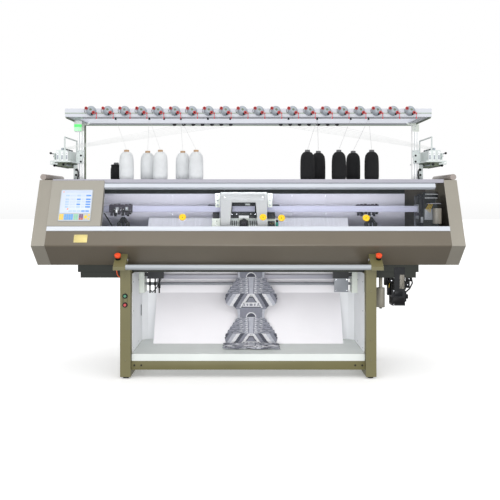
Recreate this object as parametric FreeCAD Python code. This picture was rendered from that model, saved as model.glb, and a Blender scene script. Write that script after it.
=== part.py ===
import FreeCAD, Part
import math
import os

# Flat knitting machine, in millimetres. +X runs along the needle beds, +Y to the back, +Z up.
# The origin is on the floor under the middle of the whole machine.

V = FreeCAD.Vector

# ---- driving dimensions ----
WIDTH = 2790.0            # over the end caps
DEPTH = 940.0             # from the start bar to the rear cover
SHEET = 3.0               # folded steel sheet
CAP_WIDTH = 88.0          # end cap, along X
CLEAR = 0.3               # gap between pieces that lie loose or slide
RUNNING = 0.05            # radial gap of a shaft in its bore

# casing outline, behind the front of the start bar and above the floor
NOSE_BACK = 60.0
NOSE_Z = 852.0
SILL_BACK = 110.0
SILL_Z = 945.0
TOP_BACK = 282.0
TOP_Z = 1280.0
LOW_BACK = 230.0
LOW_Z = 716.0
REAR_TOP_INSET = 150.0
REAR_SHOULDER_Z = 1000.0
REAR_HIP_Z = 800.0
REAR_LOW_INSET = 120.0

# stand
LEG = 68.0                # square section
LEG_WALL = 4.0
LEG_INNER_X = 754.0       # inner faces of the side frames
LEG_TOP = 700.0
FOOT_HEIGHT = 11.0
FOOT_PAD_R = 18.0
FOOT_STEM_R = 8.0
FOOT_STEM = 40.0
BACK_LEG_INSET = 102.0    # rear leg, ahead of the back of the machine
TOP_RAIL_Z = 548.0
BEAM_DEPTH = 50.0
BEAM_Z = 51.0
BEAM_HEIGHT = 57.0
BEAM_INSET = 35.0         # front cross beam, behind the leg's front face

# girder and beds
GIRDER_Z = 668.0
GIRDER_HALF = 1130.0
DUCT_HALF = 1112.0       # cable ducts under the girder's ends
DUCT_HEIGHT = 37.0
DUCT_GAP = 8.0            # from the side frame to the duct
GIRDER_BEAM = 100.0
GIRDER_WALL = 6.0
GIRDER_FRONT = 235.0      # ahead of the origin
GIRDER_GAP = 325.0        # between its two beams
PAN = 4.0
SLOT_WIDTH = 50.0
BED_HALF = 690.0
BED_Y = 30.0              # plane where the two beds meet
BED_APEX_Z = 1027.0
BED_GAP = 6.0
BED_FACE = 200.0
BED_THICK = 32.0
RIB_STATIONS = 7
RIB_HALF_RUN = 1000.0
RIB_THICK = 30.0
GUIDE_HALF = 1140.0
GUIDE_WIDTH = 40.0
GUIDE_HEIGHT = 30.0
GUIDE_Z = 800.0
GUIDE_OFF = 200.0         # guide rail, from the plane of the beds to its middle
YARN_RAIL_Z = 1063.0
YARN_RAIL_HEIGHT = 42.0
YARN_RAIL_THICK = 8.0
YARN_RAIL_PITCH = 40.0
YARN_RAIL_HALF = 1170.0
STAND_THICK = 20.0

# carriage
CARRIAGE_X = -30.0
BOX_HALF = 218.0
BOX_TOP = 1022.0
CAM_GAP = 1.0             # between the cam boxes and the needle beds
BOW_HALF = 157.0
BOW_TOP = 1198.0
BOW_UNDER = 1129.0
BOW_WINDOW_TOP_HALF = 80.0
BOW_WINDOW_LOW_HALF = 100.0
CARRIER_HALF = 80.0
CARRIER_LEFT_X = -880.0
CARRIER_RIGHT_X = 835.0

# covers and their tracks, along the slope (u) and out of it (v)
TRACK_HEIGHT = 32.0
TRACK_BACK = -26.0
TRACK_FRONT = 4.0
GROOVE = 6.0
COVER = 4.0
COVER_FRONT_V = -6.0
COVER_REAR_V = -18.0
GROOVE_FLOOR = 12.0
UPPER_TRACK_U = 318.0
UPPER_TRACK_HEIGHT = 28.0
UPPER_GROOVE = 20.0
COVER_TOP_U = 334.0
COVERS_MEET_X = 159.0
PULL_R = 23.0
PULL_U = 101.0
PULL_THICK = 7.0

# table and control housing
TABLE_BACK = 280.0        # table's front edge, behind the front
TABLE_Z = 1261.0
TABLE_HEIGHT = 24.0
HOUSING_RIGHT_X = -960.0
HOUSING_TOP = 1276.0
HOUSING_DEPTH = 50.0
HOUSING_PROUD = 6.0
HOUSING_GAP = 2.0         # above the track and beside the upper track
PANEL_LEFT_X = -1239.0
PANEL_WIDTH = 212.0
PANEL_LOW_U = 66.0
PANEL_HEIGHT = 232.0
PANEL_THICK = 6.0
PANEL_BODY_DEPTH = 36.0
PANEL_LIP = 8.0
BACK_PLATE_Y = 226.0
BACK_PLATE_Z = 922.0
BACK_PLATE_TOP = 1191.0
BACK_PLATE_HALF = 1130.0
TUBE_R = 20.0
TUBE_INSET = 21.0
TUBE_BACK = 335.0

# controls
BRACKET_INNER_X = 780.0
BRACKET_WIDTH = 78.0
BRACKET_NOSE_Z = 722.0
BRACKET_TOP_BACK = 114.0
BRACKET_TOP_Z = 798.0
BRACKET_REAR_BACK = 128.0
BRACKET_REAR_Z = 786.0
BAR_R = 17.0
BAR_Z = 718.0
BAR_JOURNAL_R = 8.0
ESTOP_R = 20.0
ESTOP_STEM_R = 8.0
ESTOP_ALONG = 82.0        # up the bracket's slope
ESTOP_SIDE = 836.0
ESTOP_COLLAR = 14.0
ESTOP_COLLAR_R = 17.0
ESTOP_TRAVEL_GAP = 6.0
KNOB = 14.0
BUTTON_R = 9.0
BUTTON_X = -789.0
BUTTON_GREEN_Z = 531.0
BUTTON_RED_Z = 474.0
BUTTON_COLLAR = 6.0
BUTTON_COLLAR_R = 16.5
BUTTON_PROUD = 6.0
BARREL_R = 11.0
BARREL_DEPTH = 30.0

# take-down
ROLLER_HALF = 700.0
BLOCK_WIDTH = 38.0
ROLLER_JOURNAL_R = 8.0
TAKEDOWN_R = 25.0
PRESSURE_R = 16.0
NIP_Z = 686.0
AUXILIARY_R = 9.0
AUXILIARY_Z = 561.0
FABRIC_THICK = 4.0
FABRIC_GAP = 0.5
FABRIC_LEFT_X = -171.0
FABRIC_WIDTH = 387.0
TRAY_LIP = 45.0
TRAY_DEPTH = 550.0
BOARD_FRONT_Y = -20.0
BOARD_LEAN = 206.0
BOARD_RISE = 328.0
BOARD_THICK = 2.0
BOARD_HALF = 655.7
BAY_PANEL_TOP = 500.0
WALL_BACK = 30.0          # upper bay walls end this far ahead of the origin

# rack
POST_X = 1165.0
POST = 45.0
POST_Y = 20.0
POST_WALL = 3.0
RACK_HALF = 1178.0
RACK_Z = 1680.0
RACK_WALL_HEIGHT = 54.0
RACK_FRONT = 395.0        # ahead of the origin
CHANNEL_DEPTH = 121.0
REAR_BEAM_DEPTH = 130.0
REAR_BEAM_WALL = 32.0
RACK_FLANGE = 68.0
TENSIONERS = 20
TENSIONER_RUN = 2046.0
TENSIONER_MIDDLE = 15.0
TENSIONER_R = 32.0
TENSIONER_DEPTH = 42.0
TENSIONER_Z = 1718.0
DISC_R = 10.0
ARM_PIN_R = 3.0
ARM_HUB_R = 6.0
EYELET_R = 6.0
EYELET_HEIGHT = 13.0
UPPER_EYELETS = (-862.0, -643.0, -547.0, -438.0, -262.0, -117.0, 262.0, 448.0, 666.0, 782.0)
LOWER_EYELETS = 7
LOWER_EYELET_LEFT = -519.0
LOWER_EYELET_RIGHT = 229.0
LOWER_EYELET_PITCH = 66.0
LOWER_EYELET_Y = 85.0
UPPER_EYELET_Y = -335.0
LAMP_R = 27.0
LAMP_HEIGHT = 75.0

# side feeders
FEEDER_OUTER = 1300.0
FEEDER_WIDTH = 110.0
FEEDER_Z = 1400.0
FEEDER_BODY = 80.0
FEEDER_FRONT = 190.0      # ahead of the origin
FEEDER_LENGTH = 520.0
FEEDER_ROLLER_R = 13.0
FEEDER_JOURNAL_R = 5.0
HANDLE_R = 5.0
GUIDES = 7

# cones
CONE_R = 50.0
CONE_TOP_R = 47.0
CONE_HEIGHT = 195.0
SHORT_CONE_HEIGHT = 112.0
SHORT_CONE_R = 40.0
CONE_SHOULDER = 12.0
CORE_R = 18.0
CORE_WALL = 3.7
CORE_PROUD = 14.0
CONE_FRONT_Y = 10.0
CONE_BACK_Y = 125.0
WHITE_FRONT = (-845.0, -610.0, -362.0)
WHITE_BACK = (-713.0, -464.0)
BLACK_FRONT = (411.0, 629.0, 857.0)
BLACK_BACK = (497.0, 744.0)
SHORT_CONE_X = -936.0

# cords
YARN_R = 0.8
HOSE_R = 4.5
HOSE_BEND = 28.0
CABLE_R = 4.0
CABLE_BEND = 28.0
POST_CABLE_R = 5.0

# ---- derived places ----
HALF = WIDTH / 2
INNER = HALF - CAP_WIDTH
FRONT = -DEPTH / 2
BACK = DEPTH / 2
NOSE_Y = FRONT + NOSE_BACK
SILL = (FRONT + SILL_BACK, SILL_Z)
TOP_FRONT = (FRONT + TOP_BACK, TOP_Z)
LOW_FRONT = (FRONT + LOW_BACK, LOW_Z)
REAR_TOP = (BACK - REAR_TOP_INSET, TOP_Z)
REAR_SHOULDER = (BACK, REAR_SHOULDER_Z)
REAR_HIP = (BACK, REAR_HIP_Z)
REAR_LOW = (BACK - REAR_LOW_INSET, LOW_Z)
TABLE_TOP = TABLE_Z + TABLE_HEIGHT
LEG_OUTER_X = LEG_INNER_X + LEG
LEG_FRONT_Y = NOSE_Y
TABLE_FRONT_Y = FRONT + TABLE_BACK
BACK_LEG_Y = BACK - BACK_LEG_INSET - LEG
PAN_TOP = LOW_Z + PAN
GIRDER_FRONT_Y = -GIRDER_FRONT
GIRDER_REAR_Y = GIRDER_FRONT_Y + GIRDER_BEAM + GIRDER_GAP
FRONT_BEAM_Y = LEG_FRONT_Y + BEAM_INSET
TRAY_FLOOR = BEAM_Z + BEAM_HEIGHT + TRAY_LIP
BAR_Y = FRONT + BAR_R + SHEET
DUCT_LOW = GIRDER_Z - DUCT_HEIGHT
RACK_FRONT_Y = -RACK_FRONT
REAR_BEAM_Y = POST_Y
RACK_TOP = RACK_Z + RACK_WALL_HEIGHT

# take-down, drives, rack, feeders and other fittings
SLOPE = math.hypot(TOP_FRONT[0] - SILL[0], TOP_FRONT[1] - SILL[1])
UP_Y = (TOP_FRONT[0] - SILL[0]) / SLOPE
UP_Z = (TOP_FRONT[1] - SILL[1]) / SLOPE
TIE_Y = 95.0
TIE_DEPTH = 12.0
TIES = ((590.0, 618.0), (553.0, 566.0))
BLOCK_FRONT_Y = -25.0
BLOCK_LOW = 505.0
REAR_LINE_Y = REAR_TOP[0] + (REAR_TOP[1] - TABLE_Z) * REAR_TOP_INSET / (REAR_TOP[1] - REAR_SHOULDER_Z)
REAR_LINE = [(REAR_LINE_Y, TABLE_Z), REAR_SHOULDER, REAR_HIP, REAR_LOW]
# the outer slope of a cam box lies where z = y + this offset
BOX_FACE = 970.0
BOX_SLOPE = 2 * BED_APEX_Z - BOX_FACE
PORTAL_FRONT_OFF = 180.0
PORTAL_DEPTH = 80.0
BRACKET_RUN = math.hypot(BRACKET_TOP_BACK, BRACKET_TOP_Z - BRACKET_NOSE_Z)
BRACKET_COS = BRACKET_TOP_BACK / BRACKET_RUN
BRACKET_SIN = (BRACKET_TOP_Z - BRACKET_NOSE_Z) / BRACKET_RUN
NIP_GAP = FABRIC_THICK / 2 + FABRIC_GAP
ROLLERS = {
    "takedown_roller": (TAKEDOWN_R, BED_Y + NIP_GAP + TAKEDOWN_R, NIP_Z),
    "pressure_roller": (PRESSURE_R, BED_Y - NIP_GAP - PRESSURE_R, NIP_Z),
    "auxiliary_roller": (AUXILIARY_R, BED_Y + NIP_GAP + AUXILIARY_R, AUXILIARY_Z),
}
MOTOR_X = 996.0
MOTOR_HALF = 44.0
MOTOR_LOW = 446.0
MOTOR_HIGH = 552.0
MOTOR_DEPTH = 105.0
HANGER = 4.0
DRIVE_WIDTH = 108.0
DRIVE_X = 582.0
DRIVE_LOW = 608.0
DRIVE_HIGH = 658.0
DRIVE_DEPTH = 40.0
DRIVE_FOOT = 5.0
FILTER_X = 886.0
FILTER_Y = -185.0
FILTER_R = 27.5
FILTER_LOW = 430.0
FILTER_HIGH = 560.0
HOSE_START_X = 930.0
ARM_Y = -420.0
ARM_Z = 1700.0
ARM_OFF = 34.0
ARM_LENGTH = 30.0
WINDOW_FOOT = 900.0
FABRIC_END_Y = -240.0
PULLS_LEFT = (-429.0, 97.0)
PULLS_RIGHT = (218.0, 772.0)
TRACK_END_GAP = 60.0
DRIVE_CASE_FRONT = 90.0
DRIVE_CASE_BACK = 140.0
DRIVE_CASE_TOP = 1120.0
DRIVE_CASE_GAP = 6.0
DRIVE_HEAD_FRONT = 20.0
DRIVE_HEAD_BACK = 130.0
DRIVE_HEAD_TOP = 1186.0
DRIVE_HEAD_INSET = 4.0
DRIVE_POST_R = 11.0
DRIVE_POST_IN = 16.0
DRIVE_POST_FRONT = 60.0
DRIVE_POST_TOP = 1200.0
CLAMP_FRONT = 12.0
CLAMP_BACK = 8.0
CLAMP_OVER = 8.0
CLAMP_UNDER = 4.0
CARRIER_LEG_HALF = 9.0
CARRIER_LEG_SHARE = 0.55
CARRIER_TIP_WIDTH = 6.0
CARRIER_TIP_OFF = 4.0
CARRIER_TIP_RISE = 5.0
TENSIONER_FOOT = 28.0
TENSIONER_TAPER = 6.0
DISC_PROUD = 9.0
DISC_SHIFT = 14.0
ARM_WIRE = 3.0
ARM_HUB = 6.0
ARM_TIP_R = 4.0
PIN_PROUD = 8.0
FEEDER_FLANGE = 10.0
FEEDER_INNER_STEP = 25.0
FEEDER_OUTER_STEP = 15.0
FEEDER_FOOT_IN = 6.0
FEEDER_FOOT_OUT = 38.0
FEEDER_FOOT_Y = 100.0
FEEDER_FOOT_DEPTH = 32.0
FEEDER_ARM_HEIGHT = 60.0
EAR_IN = 14.0
EAR_THICK = 18.0
EAR_HALF = 12.0
EAR_REACH = 20.0
GUIDE_IN = 60.0
GUIDE_R = 8.0
GUIDE_BORE_R = 4.0
GUIDE_HEIGHT = 16.0
HANDLE_IN = 40.0
HANDLE_HEIGHT = 88.0
HANDLE_FRONT = 12.0
HANDLE_BACK = 140.0
GUIDE_PITCH = 25.0
ROLLER_OUT = 18.0
ROLLER_DROP = 5.0
WHITE_PLACES = [(x, CONE_FRONT_Y) for x in WHITE_FRONT] + [(x, CONE_BACK_Y) for x in WHITE_BACK]
BLACK_PLACES = [(x, CONE_FRONT_Y) for x in BLACK_FRONT] + [(x, CONE_BACK_Y) for x in BLACK_BACK]


# ---- helpers ----
def box(x0, x1, y0, y1, z0, z1):
    return Part.makeBox(x1 - x0, y1 - y0, z1 - z0, V(x0, y0, z0))


def prism_x(outline, x0, x1):
    """A closed outline of (y, z) corners, drawn out along X."""
    wire = Part.makePolygon([V(x0, y, z) for y, z in outline + outline[:1]])
    return Part.Face(wire).extrude(V(x1 - x0, 0, 0))


def prism_y(outline, y0, y1):
    """A closed outline of (x, z) corners, drawn out along Y."""
    wire = Part.makePolygon([V(x, y0, z) for x, z in outline + outline[:1]])
    return Part.Face(wire).extrude(V(0, y1 - y0, 0))


def prism_z(outline, z0, z1):
    """A closed outline of (x, y) corners, drawn out along Z."""
    wire = Part.makePolygon([V(x, y, z0) for x, y in outline + outline[:1]])
    return Part.Face(wire).extrude(V(0, 0, z1 - z0))


def rod(radius, start, end):
    along = V(*end) - V(*start)
    return Part.makeCylinder(radius, along.Length, V(*start), along)


def ring(outer, inner, start, end):
    return rod(outer, start, end).cut(rod(inner, start, end))


def offset_line(points, distance, closed=False):
    """The line of points moved to its left by a distance, with mitred corners."""
    count = len(points)
    moved = []
    for i, (a, b) in enumerate(points):
        before = points[i - 1] if closed or i else None
        after = points[(i + 1) % count] if closed or i < count - 1 else None
        normals = []
        for p, q in ((before, (a, b)), ((a, b), after)):
            if p and q:
                length = math.hypot(q[0] - p[0], q[1] - p[1])
                normals.append((-(q[1] - p[1]) / length, (q[0] - p[0]) / length))
        na, nb = normals[0], normals[-1]
        scale = distance / (1 + na[0] * nb[0] + na[1] * nb[1])
        moved.append((a + (na[0] + nb[0]) * scale, b + (na[1] + nb[1]) * scale))
    return moved


def folded(points, thickness):
    """The outline of a folded sheet whose thickness lies to the left of its line."""
    return points + offset_line(points, thickness)[::-1]


def on_slope(u, v):
    """A (y, z) point on the slope of the front opening: u up it, v out of it."""
    return (SILL[0] + UP_Y * u - UP_Z * v, SILL[1] + UP_Z * u + UP_Y * v)


def slope_box(x0, x1, u0, u1, v0, v1):
    return prism_x([on_slope(u0, v0), on_slope(u1, v0), on_slope(u1, v1), on_slope(u0, v1)], x0, x1)


def slope_line(z, v=0.0):
    """The Y of the slope, moved out by v, at a height."""
    return SILL[0] + (z - SILL[1] - UP_Y * v) / UP_Z * UP_Y - UP_Z * v


def mirrored_y(points):
    """The (y, z) points mirrored in the plane where the beds meet."""
    return [(2 * BED_Y - y, z) for y, z in points]


def export(node, solids):
    solids = solids if isinstance(solids, list) else [solids]
    shape = solids[0] if len(solids) == 1 else Part.makeCompound(solids)
    if not shape.isValid():
        print("invalid shape in", node)
    shape.exportStep(os.path.join("parts", node + ".step"))


# ---- stand ----
def foot_places(side):
    x = side * (LEG_INNER_X + LEG / 2)
    return [(x, LEG_FRONT_Y + LEG / 2), (x, BACK_LEG_Y + LEG / 2)]


def side_frame(side):
    x0, x1 = sorted((side * LEG_INNER_X, side * LEG_OUTER_X))
    y0, y1 = LEG_FRONT_Y, BACK_LEG_Y + LEG
    low = FOOT_HEIGHT

    def tubes(inset):
        a, b = x0 + inset, x1 - inset
        front = box(a, b, y0 + inset, y0 + LEG - inset, low + inset, LEG_TOP - inset)
        rear = box(a, b, y1 - LEG + inset, y1 - inset, low + inset, GIRDER_Z - inset)
        base = box(a, b, y0 + inset, y1 - inset, low + inset, low + LEG - inset)
        top = box(a, b, y0 + inset, y1 - inset, TOP_RAIL_Z + inset, GIRDER_Z - inset)
        return front.fuse([rear, base, top])

    frame = tubes(0.0).cut(tubes(LEG_WALL))
    for x, y in foot_places(side):
        frame = frame.cut(rod(FOOT_STEM_R + CLEAR, (x, y, low - 1), (x, y, low + LEG_WALL + 1)))
    if side < 0:
        for z in (BUTTON_GREEN_Z, BUTTON_RED_Z):
            hole = rod(BARREL_R + CLEAR, (BUTTON_X, y0 - 1, z), (BUTTON_X, y0 + LEG_WALL + 1, z))
            frame = frame.cut(hole)
    return frame.removeSplitter()


def levelling_feet():
    feet = []
    for side in (-1, 1):
        for x, y in foot_places(side):
            pad = rod(FOOT_PAD_R, (x, y, 0), (x, y, FOOT_HEIGHT))
            stem = rod(FOOT_STEM_R, (x, y, FOOT_HEIGHT), (x, y, FOOT_HEIGHT + FOOT_STEM))
            feet.append(pad.fuse(stem))
    return feet


def square_tube(x0, x1, y0, y1, z0, z1, wall):
    inner = box(x0 - 1, x1 + 1, y0 + wall, y1 - wall, z0 + wall, z1 - wall)
    return box(x0, x1, y0, y1, z0, z1).cut(inner)


def cross_beams():
    x = LEG_INNER_X
    rear_y = BACK_LEG_Y + (LEG - BEAM_DEPTH) / 2
    beams = [
        square_tube(-x, x, y, y + BEAM_DEPTH, BEAM_Z, BEAM_Z + BEAM_HEIGHT, SHEET)
        for y in (FRONT_BEAM_Y, rear_y)
    ]
    end = LEG_INNER_X - BLOCK_WIDTH
    return beams + [box(-end, end, TIE_Y, TIE_Y + TIE_DEPTH, low, high) for low, high in TIES]


def bed_girder():
    z0, z1 = GIRDER_Z, LOW_Z
    wall = GIRDER_WALL
    parts = []
    for y in (GIRDER_FRONT_Y, GIRDER_REAR_Y):
        parts.append(square_tube(-GIRDER_HALF, GIRDER_HALF, y, y + GIRDER_BEAM, z0, z1, wall))
    for side in (-1, 1):
        x0, x1 = sorted((side * LEG_INNER_X, side * LEG_OUTER_X))
        parts.append(box(x0, x1, GIRDER_FRONT_Y + GIRDER_BEAM, GIRDER_REAR_Y, z0, z1))
    girder = parts[0].fuse(parts[1:]).removeSplitter()
    ducts = []
    for side in (-1, 1):
        x0, x1 = sorted((side * (LEG_OUTER_X + DUCT_GAP), side * DUCT_HALF))
        y = GIRDER_FRONT_Y
        ducts.append(box(x0, x1, y, y + GIRDER_BEAM, DUCT_LOW, z0))
    return [girder] + ducts


# ---- beds ----
FASCIA_LINE = [LOW_FRONT, (NOSE_Y, NOSE_Z), SILL, on_slope(0, -30)]
PAN_FRONT = offset_line(FASCIA_LINE, -SHEET)[0][0] + CLEAR
PAN_BACK = offset_line(REAR_LINE, -SHEET)[-1][0] - CLEAR


def base_pan():
    """Four flat panels round the slot that the fabric drops through."""
    half = SLOT_WIDTH / 2
    end = BED_HALF + 10
    slot_front, slot_back = BED_Y - half, BED_Y + half
    return [
        box(-INNER, INNER, PAN_FRONT, slot_front, LOW_Z, PAN_TOP),
        box(-INNER, INNER, slot_back, PAN_BACK, LOW_Z, PAN_TOP),
        box(-INNER, -end, slot_front, slot_back, LOW_Z, PAN_TOP),
        box(end, INNER, slot_front, slot_back, LOW_Z, PAN_TOP),
    ]


def bed_outline():
    """The front bed's section: its face runs down at 45 degrees from the gap."""
    y = BED_Y - BED_GAP / 2
    run = BED_FACE / math.sqrt(2)
    under = BED_THICK / math.sqrt(2)
    return [
        (y, BED_APEX_Z),
        (y - run, BED_APEX_Z - run),
        (y - run + under, BED_APEX_Z - run - under),
        (y, BED_APEX_Z - 2 * under),
    ]


def bed_underside(y):
    apex_y, apex_z = bed_outline()[3]
    return apex_z + (y - apex_y)


def rib_outline():
    inner = BED_Y - SLOT_WIDTH / 2
    shoulder = BED_Y - GUIDE_OFF + GUIDE_WIDTH
    outer = BED_Y - GUIDE_OFF - GUIDE_WIDTH / 2 - 10
    lower = bed_outline()[2][0] + 7
    return [
        (outer, PAN_TOP),
        (inner, PAN_TOP),
        (inner, bed_underside(inner)),
        (lower, bed_underside(lower)),
        (shoulder, GUIDE_Z + 25),
        (shoulder, GUIDE_Z),
        (outer, GUIDE_Z),
    ]


def bed_supports():
    solids = []
    for i in range(RIB_STATIONS):
        x = -RIB_HALF_RUN + 2 * RIB_HALF_RUN * i / (RIB_STATIONS - 1)
        outline = rib_outline()
        if abs(x) > BED_HALF:
            top = GUIDE_Z + 25
            outline = [(y, min(z, top)) for y, z in outline]
            outline = outline[:3] + outline[4:]
        for points in (outline, mirrored_y(outline)):
            solids.append(prism_x(points, x - RIB_THICK / 2, x + RIB_THICK / 2))
    half = YARN_RAIL_PITCH + 30
    for side in (-1, 1):
        x0, x1 = sorted((side * YARN_RAIL_HALF, side * (YARN_RAIL_HALF + STAND_THICK)))
        top = YARN_RAIL_Z + YARN_RAIL_HEIGHT + 10
        solids.append(box(x0, x1, BED_Y - half, BED_Y + half, PAN_TOP, top))
    return solids


def guide_rails():
    rails = []
    for side in (-1, 1):
        middle = BED_Y + side * GUIDE_OFF
        y0 = middle - GUIDE_WIDTH / 2
        rails.append(box(-GUIDE_HALF, GUIDE_HALF, y0, y0 + GUIDE_WIDTH, GUIDE_Z, GUIDE_Z + GUIDE_HEIGHT))
    return rails


def yarn_rails():
    rails = []
    for i in (-1, 0, 1):
        y0 = BED_Y + i * YARN_RAIL_PITCH - YARN_RAIL_THICK / 2
        top = YARN_RAIL_Z + YARN_RAIL_HEIGHT
        x = YARN_RAIL_HALF
        rails.append(box(-x, x, y0, y0 + YARN_RAIL_THICK, YARN_RAIL_Z, top))
    return rails


# ---- casing ----
def end_cap(side):
    outline = [LOW_FRONT, (NOSE_Y, NOSE_Z), SILL, TOP_FRONT, REAR_TOP, REAR_SHOULDER, REAR_HIP, REAR_LOW]
    inside = offset_line(outline, -LEG_WALL, closed=True)
    x0, x1 = sorted((side * INNER, side * HALF))
    shell = prism_x(outline, x0, x1)
    if side > 0:
        return shell.cut(prism_x(inside, x0 - 1, x1 - LEG_WALL))
    return shell.cut(prism_x(inside, x0 + LEG_WALL, x1 + 1))


def front_fascia():
    return prism_x(folded(FASCIA_LINE, -SHEET), -INNER, INNER)


def rear_cover():
    inner = offset_line(REAR_LINE, -SHEET)
    slope = REAR_TOP_INSET / (REAR_TOP[1] - REAR_SHOULDER_Z)
    inner[0] = (inner[0][0] - (TABLE_Z - inner[0][1]) * slope, TABLE_Z)
    return prism_x(REAR_LINE + inner[::-1], -INNER, INNER)


def grab_tubes():
    tubes = []
    z = TOP_Z + TUBE_R
    for side in (-1, 1):
        x = side * (HALF - TUBE_INSET)
        front = TOP_FRONT[0] + 8
        tube = rod(TUBE_R, (x, front, z), (x, TUBE_BACK, z))
        tubes.append(tube.cut(rod(TUBE_R - SHEET, (x, front + SHEET, z), (x, TUBE_BACK - SHEET, z))))
    return tubes


def cone_table():
    back = REAR_LINE_Y + 2
    sheet = box(-INNER, INNER, TABLE_FRONT_Y, back, TABLE_Z, TABLE_TOP)
    t = SHEET
    inside = box(-INNER + t, INNER - t, TABLE_FRONT_Y + t, back - t, TABLE_Z - 1, TABLE_TOP - t)
    return sheet.cut(inside)


def cover_tracks():
    half = GROOVE / 2
    lower = slope_box(-INNER, INNER, 0, TRACK_HEIGHT, TRACK_BACK, TRACK_FRONT)
    left = HOUSING_RIGHT_X + HOUSING_GAP
    right = INNER - 60
    u0, u1 = UPPER_TRACK_U, UPPER_TRACK_U + UPPER_TRACK_HEIGHT
    upper = slope_box(left, right, u0, u1, TRACK_BACK, TRACK_FRONT)
    low = on_slope(UPPER_TRACK_U + UPPER_TRACK_HEIGHT, TRACK_BACK)[1] - 1
    upper = upper.fuse(box(left, right, TABLE_FRONT_Y, TABLE_FRONT_Y + 10, low, TABLE_Z))
    for v in (COVER_FRONT_V, COVER_REAR_V):
        groove = slope_box(-INNER - 1, INNER + 1, GROOVE_FLOOR, TRACK_HEIGHT + 1, v - half, v + half)
        lower = lower.cut(groove)
        upper = upper.cut(slope_box(left - 1, right + 1, u0 - 1, u0 + UPPER_GROOVE, v - half, v + half))
    return [lower, upper.removeSplitter()]


def sliding_cover(x0, x1, v, pulls):
    half = COVER / 2
    sheet = slope_box(x0, x1, GROOVE_FLOOR + CLEAR, COVER_TOP_U, v - half, v + half)
    solids = [sheet]
    for x in pulls:
        back, front = on_slope(PULL_U, v + half), on_slope(PULL_U, v + half + PULL_THICK)
        solids.append(rod(PULL_R, (x, *back), (x, *front)))
    return solids


def control_housing():
    x0, x1 = -INNER, HOUSING_RIGHT_X
    low = TRACK_HEIGHT + HOUSING_GAP
    flush = TABLE_FRONT_Y - CLEAR
    knee = SILL[1] + (flush - on_slope(0, -HOUSING_DEPTH)[0]) / UP_Y * UP_Z + UP_Y * -HOUSING_DEPTH
    outline = [
        on_slope(low, HOUSING_PROUD),
        on_slope(low, -HOUSING_DEPTH),
        (flush, knee),
        (flush, HOUSING_TOP),
        (slope_line(HOUSING_TOP, HOUSING_PROUD), HOUSING_TOP),
    ]
    inside = offset_line(outline, SHEET, closed=True)
    shell = prism_x(outline, x0, x1).cut(prism_x(inside, x0 + SHEET, x1 - SHEET))
    lip = PANEL_LIP - 2
    px0, px1 = PANEL_LEFT_X + lip, PANEL_LEFT_X + PANEL_WIDTH - lip
    u0, u1 = PANEL_LOW_U + lip, PANEL_LOW_U + PANEL_HEIGHT - lip
    hole = slope_box(px0, px1, u0, u1, HOUSING_PROUD - SHEET - 1, HOUSING_PROUD + 1)
    return shell.cut(hole)


def touch_panel():
    x0, x1 = PANEL_LEFT_X, PANEL_LEFT_X + PANEL_WIDTH
    u0, u1 = PANEL_LOW_U, PANEL_LOW_U + PANEL_HEIGHT
    v = HOUSING_PROUD
    bezel = slope_box(x0, x1, u0, u1, v, v + PANEL_THICK)
    lip = PANEL_LIP
    body = slope_box(x0 + lip, x1 - lip, u0 + lip, u1 - lip, v - PANEL_BODY_DEPTH, v)
    return bezel.fuse(body)


def inner_back_plate():
    inner = offset_line(REAR_LINE, -SHEET)
    slope = REAR_TOP_INSET / (REAR_TOP[1] - REAR_SHOULDER_Z)
    reach = inner[0][0] + (inner[0][1] - BACK_PLATE_TOP) * slope - CLEAR
    line = [(BACK_PLATE_Y, BACK_PLATE_Z), (BACK_PLATE_Y, BACK_PLATE_TOP), (reach, BACK_PLATE_TOP)]
    return prism_x(folded(line, -SHEET), -BACK_PLATE_HALF, BACK_PLATE_HALF)


def end_drive_unit():
    x0, x1 = YARN_RAIL_HALF + STAND_THICK + 8, INNER - DRIVE_CASE_GAP
    case = box(x0, x1, BED_Y - DRIVE_CASE_FRONT, BED_Y + DRIVE_CASE_BACK, PAN_TOP, DRIVE_CASE_TOP)
    y0, y1 = BED_Y - DRIVE_HEAD_FRONT, BED_Y + DRIVE_HEAD_BACK
    head = box(x0 + DRIVE_HEAD_INSET, x1 - DRIVE_HEAD_INSET, y0, y1, DRIVE_CASE_TOP, DRIVE_HEAD_TOP)
    x, y = x0 + DRIVE_POST_IN, BED_Y - DRIVE_POST_FRONT
    post = rod(DRIVE_POST_R, (x, y, DRIVE_CASE_TOP), (x, y, DRIVE_POST_TOP))
    return [case, head, post]


# ---- carriage ----
def face_point(down, out):
    """A point down the front bed's face and out of it."""
    y, z = bed_outline()[0]
    k = 1 / math.sqrt(2)
    return (y - k * down - k * out, z - k * down + k * out)


def box_outline():
    rail_y = BED_Y - GUIDE_OFF
    low = GUIDE_Z + GUIDE_HEIGHT + CLEAR
    outer = rail_y - GUIDE_WIDTH / 2
    high = face_point(25, CAM_GAP)
    return [
        (outer, low),
        (outer + GUIDE_WIDTH, low),
        face_point(BED_FACE + 5, CAM_GAP),
        high,
        (high[0] - (BOX_TOP - high[1]), BOX_TOP),
        (BOX_TOP - BOX_SLOPE, BOX_TOP),
        (outer + GUIDE_WIDTH, outer + GUIDE_WIDTH + BOX_SLOPE),
        (outer, outer + GUIDE_WIDTH + BOX_SLOPE - GUIDE_WIDTH),
    ]


def carriage_boxes():
    x0, x1 = CARRIAGE_X - BOX_HALF, CARRIAGE_X + BOX_HALF
    return [prism_x(box_outline(), x0, x1), prism_x(mirrored_y(box_outline()), x0, x1)]


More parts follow.
